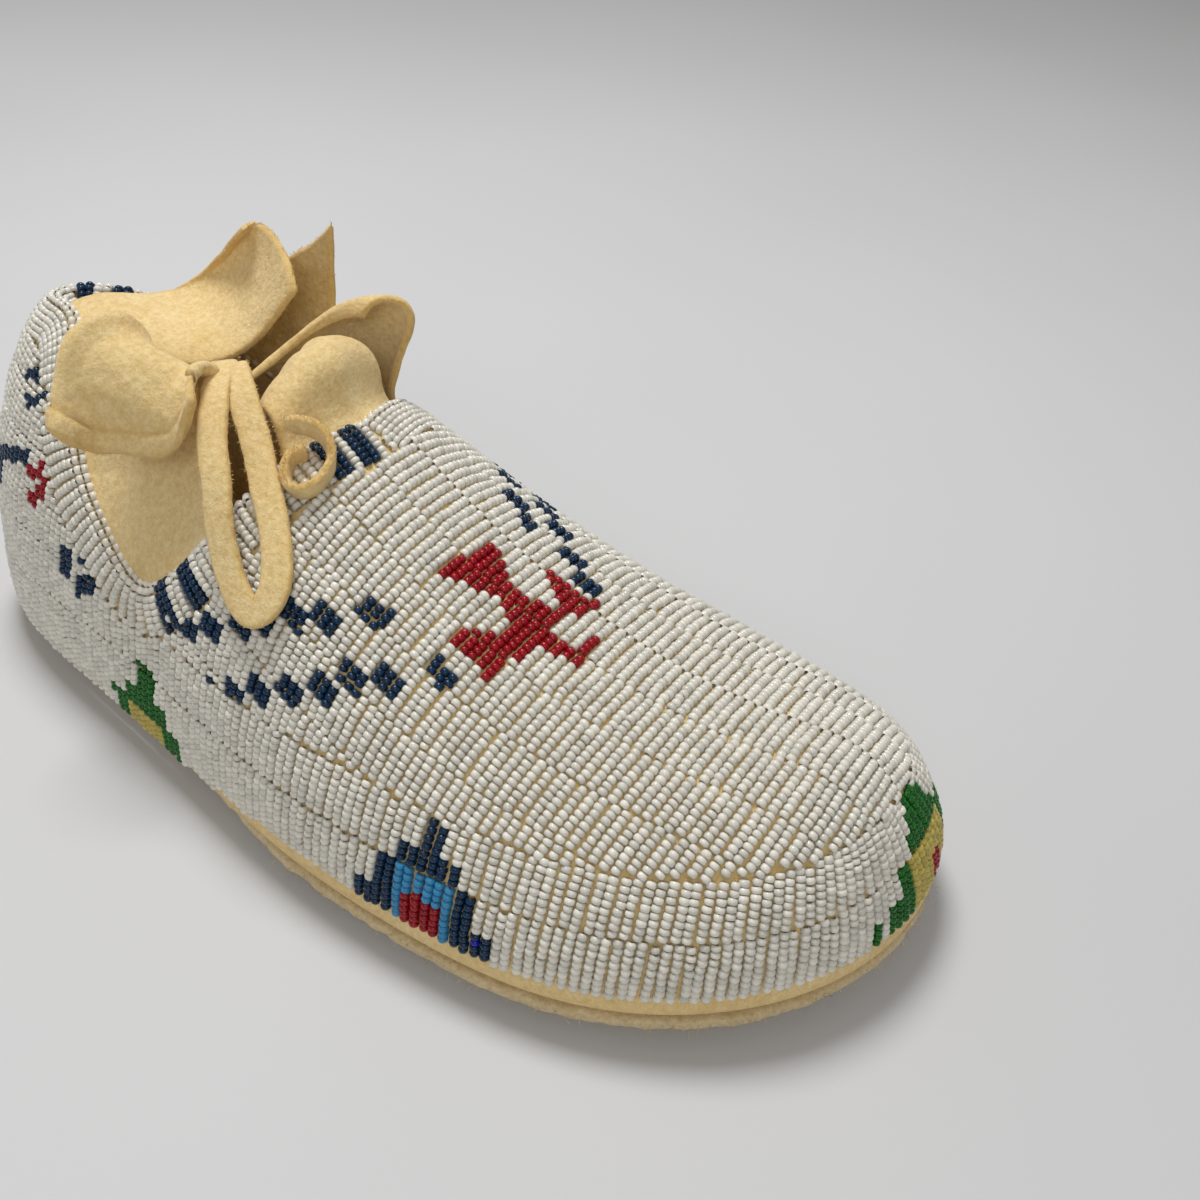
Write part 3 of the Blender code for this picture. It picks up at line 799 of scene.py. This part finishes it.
# Folds and ways, as in the solids
CUFF_FOLDS = (
    (4, 0.66, 0.04, -40, -50, -30, 60, 120),
    (6, 1.02, 0.00, -34, -42, -8, 114, 164),
    (8, 1.14, -0.02, -32, -38, -4, 130, 168),
    (12, 1.14, -0.14, -30, -24, 50, 160, 172),
    (15, 1.02, -0.34, -34, -20, 60, 150, 170),
    (16, 0.86, -0.38, -36, -24, 60, 150, 170),
)
BACK_FOLDS = (
    (18, 0.86, -0.02, -88, -92, -64, -40, -38),
    (20, 0.86, -0.10, -92, -94, -60, -32, -30),
    (22, 0.80, -0.24, -94, -92, -56, -24, -20),
    (24, 0.70, -0.40, -94, -90, -50, -14, -10),
)
POINT_FOLDS = (
    (44, 0.36, 0.10, -10, 2, 6, 6, 6),
    (47, 0.52, 0.06, -10, 2, 4, 4, 4),
    (51, 0.82, 0.00, -12, 0, 2, 2, 2),
)
TONGUE_FOLDS = (
    (52, 1.35, 0.00, -30, -42, -50, -80, -130),
    (54, 1.25, 0.00, -16, -20, -30, -90, -150),
    (57, 1.00, 0.00, 6, 20, 10, -90, -160),
)
ROLL_FOLDS = (
    (58, 0.80, 0.00, -14, -20, -90, -150, -190),
    (60, 0.84, 0.00, -30, -20, -94, -154, -194),
    (62, 0.56, 0.00, -34, -30, -90, -140, -180),
)
LOOP_WAY = (
    (0.1655, 1.386, 1.5), (0.1780, 1.264, 2.5), (0.1865, 1.177, 2.7), (0.1950, 1.086, 2.6),
    (0.2040, 1.004, 2.4), (0.2110, 0.912, 1.9), (0.2185, 0.825, 1.3), (0.2275, 0.759, 1.0),
    (0.2365, 0.754, 0.9), (0.2395, 0.825, 0.9), (0.2360, 0.917, 0.9), (0.2265, 1.014, 0.9),
    (0.2135, 1.106, 1.0), (0.2020, 1.193, 1.4), (0.1910, 1.264, 2.0), (0.1820, 1.320, 2.3),
    (0.1710, 1.381, 1.7),
)
RING_WAY = (
    (0.2070, 1.300, 1.6), (0.2110, 1.330, 1.9), (0.2180, 1.360, 1.5), (0.2250, 1.330, 0.9),
    (0.2280, 1.260, 0.75), (0.2270, 1.180, 0.75), (0.2230, 1.150, 0.75), (0.2170, 1.180, 0.75),
    (0.2150, 1.240, 0.75), (0.2175, 1.290, 0.75),
)

SEAM_DEPTH = 0.0008
REAR_TUCK = 0.0044
FRONT_TUCK = 0.0014
FIBRE_WIDTH = 0.00013
LEATHER_OUT = -0.00140
STRAP_WIDTH = 0.0062
STRAP_THICKNESS = 0.0019
RING_WIDTH = 0.0050

# Face of the bare leather under the beads: height up the rib, distance out from the bead line
BARE_PROFILE = (
    (0.0, -0.0034), (0.0008, -0.0016), (0.0022, -0.0006), (0.0038, -0.0007),
    (0.0054, -0.0010), (0.0070, LEATHER_OUT), (0.0090, LEATHER_OUT), (0.0120, LEATHER_OUT),
    (0.0200, LEATHER_OUT), (0.0500, LEATHER_OUT), (0.1500, LEATHER_OUT),
)


def rough(points, scale, seed, octaves=3):
    """Noise at each point, about -1 to 1."""
    shift = Vector((seed * 7.31, seed * 3.17, seed * 5.71))
    return np.array(
        [noise.fractal(Vector(p) * scale + shift, 0.9, 2.0, octaves) for p in points.reshape(-1, 3)]
    ).reshape(points.shape[:-1])


def mesh_piece(name, points, faces, replaced, finish, tone):
    """A smooth mesh that rides on the shoe, with a tone for its material that darkens worn edges and, on
    the upper, paints shade at the sole seam.
    """
    mesh = bpy.data.meshes.new(name)
    mesh.from_pydata(np.asarray(points).reshape(-1, 3).tolist(), [], [list(map(int, f)) for f in faces])
    work = bmesh.new()
    work.from_mesh(mesh)
    layer = work.verts.layers.float_color.new("tone")
    work.verts.ensure_lookup_table()
    for vertex, value in zip(work.verts, np.ravel(tone)):
        vertex[layer] = (value, value, value, 1)
    loose = [v for v in work.verts if not v.link_faces]
    bmesh.ops.delete(work, geom=loose, context="VERTS")
    bmesh.ops.remove_doubles(work, verts=work.verts, dist=0.00001)
    bmesh.ops.recalc_face_normals(work, faces=work.faces)
    work.to_mesh(mesh)
    work.free()
    mesh.polygons.foreach_set("use_smooth", np.ones(len(mesh.polygons), bool))
    mesh.materials.append(finish)
    piece = placed(name, mesh)
    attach(piece, "root")
    if replaced:
        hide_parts(replaced)
    return piece


FIBRES = {"rawhide": [], "buckskin": []}


def add_fibres(roots, ways, length, slot):
    """Loose fibres that stand off an edge: a root, a middle and a tip for each."""
    count = len(roots)
    long = length * RANDOM.gamma(4.0, 0.25, (count, 1)).clip(0.3, 1.7)
    first = unit(ways + RANDOM.normal(0, 0.5, (count, 3)))
    second = unit(first + RANDOM.normal(0, 0.7, (count, 3)))
    middle = roots + first * long * 0.5
    tip = middle + second * long * 0.5
    tip[:, 2] = tip[:, 2].clip(0.0001)
    FIBRES[slot].append(np.stack([roots, middle, tip], axis=1))


def fibre_meshes(finishes):
    """One mesh of thin pointed strips for each material's fibres."""
    for slot, lots in FIBRES.items():
        lines = np.concatenate(lots)
        side = unit(np.cross(lines[:, 2] - lines[:, 0], RANDOM.normal(0, 1, (len(lines), 3))))
        wide = side * FIBRE_WIDTH / 2
        root, middle, tip = np.swapaxes(lines, 0, 1)
        points = np.stack([root - wide, root + wide, middle + wide, middle - wide, tip], axis=1)
        base = 5 * np.arange(len(lines))[:, None]
        faces = [*(base + (0, 1, 2, 3)).tolist(), *(base + (3, 2, 4)).tolist()]
        tones = np.full(points.shape[:2], 0.15)
        mesh_piece(f"{slot}_fibres", points, faces, None, finishes[slot], tones)


def strip_faces(rows, columns, closed):
    """Quads of a grid, closed round its columns or not."""
    across = columns if closed else columns - 1
    row, column = (each.ravel() for each in np.meshgrid(range(rows - 1), range(across), indexing="ij"))
    here, after = row * columns + column, row * columns + (column + 1) % columns
    return np.column_stack([here, after, after + columns, here + columns])


def upper_leather(finish):
    """The leather under the beads, with its bulging lower edge, its rim at the opening and its inside."""
    parts = 6
    station = np.arange(0, STATIONS + 0.01, 1 / parts)
    outer = np.interp(station, np.arange(STATIONS + 1), OUTER_TURNS)
    inner = np.interp(station, np.arange(STATIONS + 1), INNER_TURNS)
    stations = np.concatenate([station, station[-2:0:-1]])
    turns = np.concatenate([outer, inner[-2:0:-1]])
    sides = np.concatenate([np.ones(len(station)), -np.ones(len(station) - 2)])
    columns = len(turns)
    share_up = np.concatenate([[0, 0.012, 0.028, 0.045, 0.062, 0.08, 0.1, 0.125], np.linspace(0.16, 1, 30)])
    down = np.linspace(1, 0, 22)
    lip = np.radians(np.linspace(15, 165, 6))
    profile = spline(BARE_PROFILE)
    open_part = stations < THROAT_STATION
    end_turn, end_angle = turns.copy(), np.full(columns, np.pi / 2)
    for k in np.nonzero(open_part)[0]:
        end_turn[k], end_angle[k] = top_of(stations[k] / THROAT_STATION, sides[k])
    grid = []
    tone = []
    for share in share_up:
        t = turns + (end_turn - turns) * share
        a = end_angle * share
        arc = arc_of(t, a)
        point = surface(t, np.maximum(a, 1e-4), profile(arc))
        if share == 0:
            point[:, 2] -= SEAM_DEPTH
        grid.append(point + creased(point, t, a))
        # Painted shade: the bare leather darkens towards the recessed seam by the sole
        tone.append(np.interp(arc, [0, 0.001, 0.004, 0.008], [1, 0.6, 0.1, 0]))
    middle_grow = (LEATHER_OUT - BEAD_LAYER - FIT - LEATHER) / 2
    half = (LEATHER_OUT + BEAD_LAYER + FIT + LEATHER) / 2
    rise = unit(surface(end_turn, end_angle, 0.0) - surface(end_turn, end_angle - 0.02, 0.0))
    for a in lip:
        point = surface(end_turn, end_angle, middle_grow + half * np.cos(a)) + rise * half * np.sin(a)
        grid.append(point)
        tone.append(np.full(columns, 0.7))
    for share in down:
        t = turns + (end_turn - turns) * share
        a = np.maximum(end_angle * share, 1e-4)
        grid.append(surface(t, a, -BEAD_LAYER - FIT - LEATHER))
        tone.append(np.full(columns, 0.15))
    grid = np.array(grid)
    rows = len(grid)
    faces = strip_faces(rows, columns, True)
    first_lip, last_lip = len(share_up) - 1, len(share_up) + len(lip)
    row_of = faces[:, 0] // columns
    column_of = faces[:, 0] % columns
    closed = (stations >= THROAT_STATION) & (np.roll(stations, -1) >= THROAT_STATION)
    faces = faces[~((row_of >= first_lip) & (row_of < last_lip) & closed[column_of])]
    bottom = strip_faces(2, columns, True)
    bottom = np.where(bottom < columns, bottom, bottom - columns + (rows - 1) * columns)
    mesh_piece("upper_leather", grid, np.vstack([faces, bottom]), "upper", finish, tone)


# Soft troughs and ridges of the worn shoe: place, plan direction in degrees, half length, half width
# and height, which is below zero for a trough
CREASES = (
    (-0.085, -0.040, 0.040, 70, 0.016, 0.006, -0.0006),
    (-0.040, -0.046, 0.030, 20, 0.030, 0.006, -0.0007),
    (0.010, -0.040, 0.036, -10, 0.026, 0.007, -0.0006),
    (0.045, -0.030, 0.042, 60, 0.018, 0.005, 0.0004),
    (0.062, -0.004, 0.044, 78, 0.026, 0.006, -0.0005),
    (0.082, 0.004, 0.040, 82, 0.024, 0.005, 0.0004),
    (0.030, 0.030, 0.040, 20, 0.024, 0.007, -0.0006),
    (-0.060, 0.034, 0.036, 8, 0.026, 0.006, -0.0007),
)


def creased(points, turn, angle):
    """Moves along the normal that make the creases."""
    height = np.zeros(points.shape[:-1])
    for x, y, z, degrees, half_length, half_width, high in CREASES:
        way = np.array([np.cos(np.radians(degrees)), np.sin(np.radians(degrees)), 0])
        off = points - (x, y, z)
        along = off @ way
        across = np.linalg.norm(off - along[..., None] * way, axis=-1)
        height = height + high * np.exp(-((along / half_length) ** 2) - (across / half_width) ** 2)
    return normal_at(turn, angle) * height[..., None]


def sole_hide(finish):
    """The sole: a flat plate with a low arch and a rough rim lifted off the floor."""
    turns = np.linspace(0, 1, 480, endpoint=False)
    edge = OUTLINE_AT(turns)
    out = outward(turns)
    middle = middle_line(edge[:, 0])
    deepest = RIM_BAND + RIM_SLOPE
    slope_at = spline(((-0.002, 1), (RIM_BAND, 1), (RIM_BAND + 0.5 * RIM_SLOPE, 0.42), (deepest, 0)))
    insets = np.array([deepest, 0.0125, 0.0098, 0.0072, 0.0048, 0.0030, 0.0014, 0.0002])
    ragged = 0.0004 * rough(surface(turns, np.zeros(len(turns)), 0.0), 260, 3)
    tuck = FRONT_TUCK + (REAR_TUCK - FRONT_TUCK) * rear_share(edge[:, :1])
    rows = []
    tone = []

    def plate(lift, order):
        for share in order:
            point = middle + (edge - out * deepest - middle) * share
            rows.append(np.column_stack([point, np.full(len(turns), lift) + waist(point[:, 0])]))
            tone.append(np.zeros(len(turns)))

    def waist(x):
        near = np.clip(1 - np.abs(x - ARCH_PLACE) / ARCH_HALF_LENGTH, 0, 1)
        return ARCH_RISE * near * near * (3 - 2 * near)

    def band_row(inset, lift):
        slope = np.clip(slope_at(inset), 0, 1)
        point = edge - out * (inset + tuck * (1 - inset / deepest) - ragged[:, None] * (inset < 0.001))
        high = SOLE_THICKNESS + (edge_height(edge[:, 0]) - SOLE_THICKNESS) * slope
        inside = np.clip((inset - 0.0072) / (deepest - 0.0072), 0, 1)
        rows.append(np.column_stack([point, high + lift + waist(point[:, 0]) * inside]))
        tone.append(np.full(len(turns), np.clip(1 - inset / 0.004, 0, 1)))

    plate(SOLE_THICKNESS, (0, 0.33, 0.66, 0.9))
    for inset in insets:
        band_row(inset, 0)
    for a in np.radians(np.linspace(60, -60, 5)):
        band_row(-RIM_MARGIN * np.cos(a) ** 0.5 + 0.0002, (np.sin(a) - 1) * SOLE_THICKNESS / 2)
    for inset in insets[::-1]:
        band_row(inset, -SOLE_THICKNESS)
    plate(0, (0.9, 0.66, 0.33, 0))
    rim = np.array(rows)[len(insets) + 4 + 2]
    front = np.nonzero(tuck[:, 0] < 0.5 * REAR_TUCK)[0]
    away = np.column_stack([out[front], np.zeros(len(front))])
    for _ in range(6):
        spread = RANDOM.normal(0, 1, (len(front), 3)) * (0.0006, 0.0006, 0.0008)
        add_fibres(rim[front] + spread - away * 0.0005, away, 0.0012, "rawhide")
    grid = np.array(rows)
    lumps = rough(grid[4:-4], 420, 5)
    grid[4:-4, :, 2] += 0.00018 * lumps * (np.array(tone)[4:-4] > 0)
    grid[..., 2] = grid[..., 2].clip(0)
    faces = strip_faces(len(grid), len(turns), True)
    mesh_piece("sole_rawhide", grid, faces, "sole", finish, tone)


def collar(step):
    """Middle of the leather's edge at the opening, with step 0 at the throat and the outer side first."""
    share = (step / OPENING_STEPS) % 1
    side = 1 if share <= 0.5 else -1
    grow = -BEAD_LAYER - FIT - LEATHER / 2
    return surface(*top_of(abs(1 - 2 * share), side), grow)


def collar_frame(step):
    """Direction along the edge of the opening, level direction away from it, and the leather's own."""
    share = (step / OPENING_STEPS) % 1
    side = 1 if share <= 0.5 else -1
    turn, angle = top_of(abs(1 - 2 * share), side)
    edge = unit(collar(step + 1) - collar(step - 1))
    wide = surface(turn + 0.01, angle, 0.0) - surface(turn - 0.01, angle, 0.0)
    steep = min(float(angle), 1.45)
    rise = surface(turn, steep + 0.03, 0.0) - surface(turn, steep - 0.03, 0.0)
    normal = np.cross(wide, rise)
    if normal[2] < 0:
        normal = -normal
    normal = unit(normal - edge * (normal @ edge))
    up = np.cross(edge, normal)
    along = unit(edge * (1, 1, 0))
    return along, np.array([-along[1], along[0], 0]), up


def fold_grid(folds, scale, rows, per_step):
    """Middle surface of a leather piece that leaves the opening, from a table of folds."""
    table = spline(folds)
    first, last = folds[0][0], folds[-1][0]
    grid = np.zeros((rows + 1, (last - first) * per_step + 1, 3))
    for column in range(grid.shape[1]):
        step = first + column / per_step
        height, sweep, *leans = table(step)
        along, out, up = collar_frame(step)
        start = np.degrees(np.arctan2(up @ out, up[2]))
        lean_at = spline(np.column_stack([np.linspace(0, 1, len(leans) + 1), [start, *leans]]))
        shares = (np.arange(rows) + 0.5) / rows
        lean = np.radians(lean_at(shares))
        move = np.cos(lean)[:, None] * (0, 0, 1) + np.sin(lean)[:, None] * out
        moves = (move * height + along * (sweep * 2 * shares)[:, None]) * scale / rows
        grid[0, column] = collar(step) - up * 0.0004
        grid[1:, column] = collar(step) + up * FOLD_FIT + np.cumsum(moves, axis=0)
    return grid


def fold_piece(name, replaced, folds, scale, finish, per_step, seed, rows=84, crumple=0.0004, hem=0.0):
    """A piece of soft leather with rounded edges, small crumples and, where it has one, a hem seam."""
    grid = fold_grid(folds, scale, rows, per_step)
    down = np.gradient(grid, axis=0)
    normal = unit(np.cross(down, np.gradient(grid, axis=1)))
    from_base = walked_along(grid)
    to_edge = from_base[-1:] - from_base
    from_left = walked_along(grid, axis=1)
    to_right = from_left[:, -1:] - from_left
    free = np.minimum(np.minimum(to_edge, from_left), to_right)
    base = np.clip(from_base / 0.012, 0, 1)
    lumps = rough(grid, 70, seed, 2) + 0.35 * rough(grid, 240, seed + 4, 2)
    waver = 0.0005 * rough(grid, 120, seed + 9, 2) * np.clip(1 - free / 0.004, 0, 1)
    grid = grid + normal * (crumple * lumps * base)[..., None]
    grid = grid + unit(down) * (waver * base)[..., None]
    round_off = 0.6 * LEATHER
    thin = np.sqrt(1 - (1 - np.clip(free / round_off, 0, 1)) ** 2).clip(0.05)
    half = np.full(free.shape, LEATHER / 2)
    if hem:
        seam = np.exp(-(((to_edge - hem) / 0.0005) ** 2))
        half = half * (1 + 0.35 * (to_edge < hem) - 0.75 * seam)
    half = half * thin
    layers = np.array([grid + normal * half[..., None], grid - normal * half[..., None]])
    count = grid.shape[0] * grid.shape[1]
    quads = strip_faces(grid.shape[0], grid.shape[1], False)
    faces = [quads, quads[:, ::-1] + count]
    row_last, column_last = grid.shape[0] - 1, grid.shape[1] - 1
    border = [(0, c) for c in range(column_last + 1)]
    border += [(r, column_last) for r in range(1, row_last + 1)]
    border += [(row_last, c) for c in range(column_last - 1, -1, -1)]
    border += [(r, 0) for r in range(row_last - 1, 0, -1)]
    ids = np.array([r * grid.shape[1] + c for r, c in border])
    after = np.roll(ids, -1)
    faces.append(np.column_stack([ids, ids + count, after + count, after]))
    inner = [(min(max(r, 4), row_last - 4), min(max(c, 4), column_last - 4)) for r, c in border]
    at_edge = np.array([grid[r, c] for r, c in border])
    ways = unit(at_edge - np.array([grid[r, c] for r, c in inner]))
    high = np.array([r > 12 for r, c in border])
    for _ in range(3):
        add_fibres(at_edge[high] - 0.0003 * ways[high], ways[high], 0.0007, "buckskin")
    darkening = np.clip(1 - free / 0.0022, 0, 1)
    if hem:
        darkening = np.maximum(darkening, 0.8 * seam)
    mesh_piece(name, layers, np.vstack(faces), replaced, finish, [darkening, darkening])


def way_line(way, count):
    """Points of a thong over the upper, with the upper's normal at each."""
    rows = np.array(way)
    points = surface(rows[:, 0], rows[:, 1], 0.0) - (0, 0, FIT)
    normal = normal_at(rows[:, 0], rows[:, 1])
    points = points + normal * rows[:, 2:] * THONG_LIFT
    walked = walked_along(points)
    smooth = spline(np.column_stack([walked, points, normal]))(np.linspace(0, walked[-1], count))
    return smooth[:, :3], unit(smooth[:, 3:])


def thong(name, replaced, way, wide, thick, upright, finish, seed, count=150):
    """A flat leather thong along its way, lying on its face or standing on its edge."""
    line, normal = way_line(way, count)
    along = unit(np.gradient(line, axis=0))
    normal = unit(normal - along * (normal * along).sum(axis=1, keepdims=True))
    side = np.cross(normal, along)
    long_way, short_way = (normal, side) if upright else (side, normal)
    angles = np.linspace(0, 2 * np.pi, 20, endpoint=False)
    power = 0.55
    u = np.sign(np.cos(angles)) * np.abs(np.cos(angles)) ** power * wide / 2
    v = np.sign(np.sin(angles)) * np.abs(np.sin(angles)) ** power * thick / 2
    walked = walked_along(line)
    from_end = np.clip(np.minimum(walked, walked[-1] - walked) / 0.0012, 0, 1)
    ends = np.sqrt(1 - (1 - from_end) ** 2).clip(0.06)
    uneven = 1 + 0.06 * rough(line, 150, seed)
    grid = (
        line[None]
        + long_way[None] * (u[:, None] * (uneven * ends)[None])[..., None]
        + short_way[None] * (v[:, None] * ends[None])[..., None]
    )
    grid = grid + 0.00012 * unit(grid - line[None]) * rough(grid, 500, seed + 3)[..., None]
    rings = np.swapaxes(grid, 0, 1)
    faces = strip_faces(count, len(angles), True)
    caps = [list(range(len(angles))), list(range((count - 1) * len(angles), count * len(angles)))]
    for turn in (-1, 1):
        for _ in range(4):
            reach = turn * long_way * (0.47 * wide) + short_way * RANDOM.normal(0, 0.3 * thick, (count, 1))
            add_fibres(line + reach, turn * long_way, 0.0005, "buckskin")
    darkening = np.abs(np.cos(angles))[None] ** 4 * np.ones((count, 1))
    piece = mesh_piece(name, rings, [*faces.tolist(), *caps], replaced, finish, darkening)


# Materials
class Nodes:
    """Short ways to add and link shader nodes."""

    def __init__(self, name):
        self.made = bpy.data.materials.new(name)
        self.made.use_nodes = True
        self.tree = self.made.node_tree
        self.shader = self.tree.nodes["Principled BSDF"]

    def add(self, kind, **settings):
        node = self.tree.nodes.new(kind)
        for key, value in settings.items():
            setattr(node, key, value)
        return node

    def link(self, start, end):
        self.tree.links.new(start, end)

    def noise(self, scale, detail, roughness):
        node = self.add("ShaderNodeTexNoise")
        for key, value in (("Scale", scale), ("Detail", detail), ("Roughness", roughness)):
            node.inputs[key].default_value = value
        self.link(self.place(), node.inputs["Vector"])
        return node.outputs["Fac"]

    def place(self):
        if not hasattr(self, "coordinates"):
            self.coordinates = self.add("ShaderNodeTexCoord")
        return self.coordinates.outputs["Object"]

    def ramp(self, source, *stops):
        node = self.add("ShaderNodeValToRGB")
        ramp = node.color_ramp
        while len(ramp.elements) < len(stops):
            ramp.elements.new(0.5)
        for element, (at, colour) in zip(ramp.elements, stops):
            element.position = at
            element.color = (*colour, 1)
        self.link(source, node.inputs["Fac"])
        return node.outputs["Color"]

    def fill(self, sockets, values):
        for socket, value in zip(sockets, values):
            if hasattr(value, "is_output"):
                self.link(value, socket)
            else:
                socket.default_value = value

    def mix(self, share, first, second):
        node = self.add("ShaderNodeMix", data_type="RGBA")
        sockets = [s for s in node.inputs if s.name in ("Factor", "A", "B") and s.enabled]
        self.fill(sockets, (share, first, second))
        return next(s for s in node.outputs if s.enabled)

    def times(self, first, second):
        node = self.add("ShaderNodeMath", operation="MULTIPLY")
        self.fill(node.inputs, (first, second))
        return node.outputs[0]

    def tone(self):
        node = self.add("ShaderNodeAttribute", attribute_name="tone")
        return node.outputs["Fac"]

    def bump(self, height, distance, strength=1.0, normal=None):
        node = self.add("ShaderNodeBump")
        node.inputs["Distance"].default_value = distance
        node.inputs["Strength"].default_value = strength
        self.link(height, node.inputs["Height"])
        if normal is not None:
            self.link(normal, node.inputs["Normal"])
        return node.outputs["Normal"]


def set_shader(shader, **values):
    """Constants on the shader's own sockets."""
    for key, value in values.items():
        shader.inputs[key.replace("_", " ")].default_value = value


def buckskin():
    """Pale yellow suede: a soft nap, rubbed patches, a deeper colour at its worn edges, and painted shade
    low on the upper by the sole seam.
    """
    n = Nodes("buckskin_suede")
    base = n.ramp(
        n.noise(60, 8, 0.74),
        (0.32, (0.74, 0.50, 0.185)), (0.5, (0.86, 0.635, 0.285)), (0.68, (0.93, 0.73, 0.38)),
    )
    nap = n.noise(750, 6, 0.8)
    mottled = n.mix(0.5, base, n.ramp(nap, (0.38, (0.64, 0.42, 0.14)), (0.62, (0.96, 0.78, 0.44))))
    # Darker where the tone is high: worn edges, and painted shade low on the upper by the sole seam
    darkening = n.times(n.tone(), n.times(n.noise(130, 5, 0.7), 1.25))
    edged_and_shaded = n.mix(darkening, mottled, (0.70, 0.44, 0.12, 1))
    n.link(edged_and_shaded, n.shader.inputs["Base Color"])
    fine = n.bump(nap, 0.0003, 1.0)
    n.link(n.bump(n.noise(260, 5, 0.7), 0.0010, 0.7, fine), n.shader.inputs["Normal"])
    set_shader(n.shader, Roughness=0.95, Specular_IOR_Level=0.12, Sheen_Weight=0.3, Sheen_Roughness=0.5)
    set_shader(n.shader, Sheen_Tint=(1.0, 0.93, 0.80, 1))
    return n.made


def rawhide():
    """Stiffer hide of the sole: fibrous, and mottled darker and paler."""
    n = Nodes("rawhide_fibres")
    base = n.ramp(
        n.noise(70, 6, 0.7),
        (0.3, (0.56, 0.42, 0.21)), (0.55, (0.74, 0.585, 0.33)), (0.75, (0.84, 0.69, 0.43)),
    )
    fibre = n.noise(1000, 5, 0.75)
    mottled = n.mix(0.45, base, n.ramp(fibre, (0.35, (0.40, 0.28, 0.12)), (0.65, (0.80, 0.66, 0.42))))
    n.link(mottled, n.shader.inputs["Base Color"])
    fine = n.bump(fibre, 0.0003, 1.0)
    n.link(n.bump(n.noise(300, 4, 0.6), 0.0008, 0.6, fine), n.shader.inputs["Normal"])
    set_shader(n.shader, Roughness=0.9, Specular_IOR_Level=0.15, Sheen_Weight=0.25, Sheen_Roughness=0.5)
    return n.made


def bead_glass(name, colour, rough_level, lustre):
    """Seed bead glass: each bead a little darker or paler, with a fine uneven gloss."""
    n = Nodes(name)
    low = tuple(c * 0.80 for c in colour)
    high = tuple(min(c * 1.12, 1) for c in colour)
    base = n.ramp(n.tone(), (0.0, low), (1.0, high))
    n.link(base, n.shader.inputs["Base Color"])
    n.link(n.bump(n.noise(1500, 2, 0.5), 0.00004, 0.5), n.shader.inputs["Normal"])
    set_shader(n.shader, Roughness=rough_level, IOR=1.5, Specular_IOR_Level=0.3)
    set_shader(n.shader, Coat_Weight=lustre, Coat_Roughness=0.08)
    return n.made


def floor_paint():
    """Plain pale grey, a little uneven."""
    n = Nodes("pale_floor")
    grey = n.ramp(n.noise(3, 2, 0.5), (0.3, (0.60, 0.60, 0.605)), (0.7, (0.64, 0.64, 0.645)))
    n.link(grey, n.shader.inputs["Base Color"])
    set_shader(n.shader, Roughness=0.75, Specular_IOR_Level=0.2)
    return n.made


def camera():
    """The photo's view of the shoe, from its outer side and above the toe."""
    made = bpy.data.cameras.new("camera")
    made.sensor_width = 36
    made.lens = 39.0177
    made.clip_start = 0.01
    made.clip_end = 10
    view = placed("camera", made)
    right = (0.8255, 0.56028, 0.06816)
    up = (-0.38874, 0.47685, 0.78835)
    back = (0.40919, -0.67727, 0.61144)
    place = (0.1489281, -0.17112555, 0.21290016)
    turn = Matrix((right, up, back)).transposed().to_4x4()
    view.matrix_world = Matrix.Translation(place) @ turn
    bpy.context.scene.camera = view


def lamp(name, place, aim, size, power):
    """A round soft lamp that points at its aim."""
    made = bpy.data.lights.new(name, "AREA")
    made.shape = "DISK"
    made.size = size
    made.energy = power
    lit = placed(name, made)
    lit.location = place
    lit.rotation_euler = (Vector(aim) - Vector(place)).to_track_quat("-Z", "Y").to_euler()


def studio():
    """Two lamps, a soft room light and a floor."""
    lamp("key_light", (-0.22, 0.14, 0.88), (0, 0, 0.02), 0.30, 5.6)
    lamp("fill_light", (0.5, -0.8, 0.8), (0, 0, 0.03), 0.6, 2.9)
    world = bpy.data.worlds.new("soft_room")
    bpy.context.scene.world = world
    world.use_nodes = True
    sky = world.node_tree.nodes["Background"]
    sky.inputs["Color"].default_value = (1.0, 0.99, 0.97, 1)
    sky.inputs["Strength"].default_value = 0.30
    mesh = bpy.data.meshes.new("floor")
    mesh.from_pydata([(-2, -2, 0), (2, -2, 0), (2, 2, 0), (-2, 2, 0)], [], [(0, 1, 2, 3)])
    mesh.materials.append(floor_paint())
    ground = placed("floor", mesh)
    ground.location.z = -0.0002


def main():
    bpy.context.scene.view_settings.view_transform = "Standard"
    camera()
    studio()
    suede = buckskin()
    hide = rawhide()
    glass = {letter: bead_glass(*values) for letter, values in COLOURS.items()}
    thong("thong_loop_strip", "thong_loop", LOOP_WAY, STRAP_WIDTH, STRAP_THICKNESS, False, suede, 11)
    thong("thong_ring_strip", "thong_ring", RING_WAY, RING_WIDTH, STRAP_THICKNESS, True, suede, 12)
    upper_leather(suede)
    sole_hide(hide)
    fold_piece("cuff_suede", "cuff", CUFF_FOLDS, CUFF_HEIGHT, suede, 9, 1, crumple=0.0007, hem=0.0055)
    fold_piece("cuff_back_suede", "cuff_back", BACK_FOLDS, CUFF_HEIGHT, suede, 12, 2)
    fold_piece("cuff_point_suede", "cuff_point", POINT_FOLDS, CUFF_HEIGHT, suede, 9, 3, rows=60)
    fold_piece("tongue_suede", "tongue", TONGUE_FOLDS, TONGUE_LENGTH, suede, 14, 4)
    fold_piece("throat_roll_suede", "throat_roll", ROLL_FOLDS, TONGUE_LENGTH, suede, 16, 5)
    band()
    border()
    quarters()
    vamp()
    beads = thinned(BEADS)
    paint_motifs(beads)
    bead_meshes(beads, glass)
    fibre_meshes({"rawhide": hide, "buckskin": suede})


main()
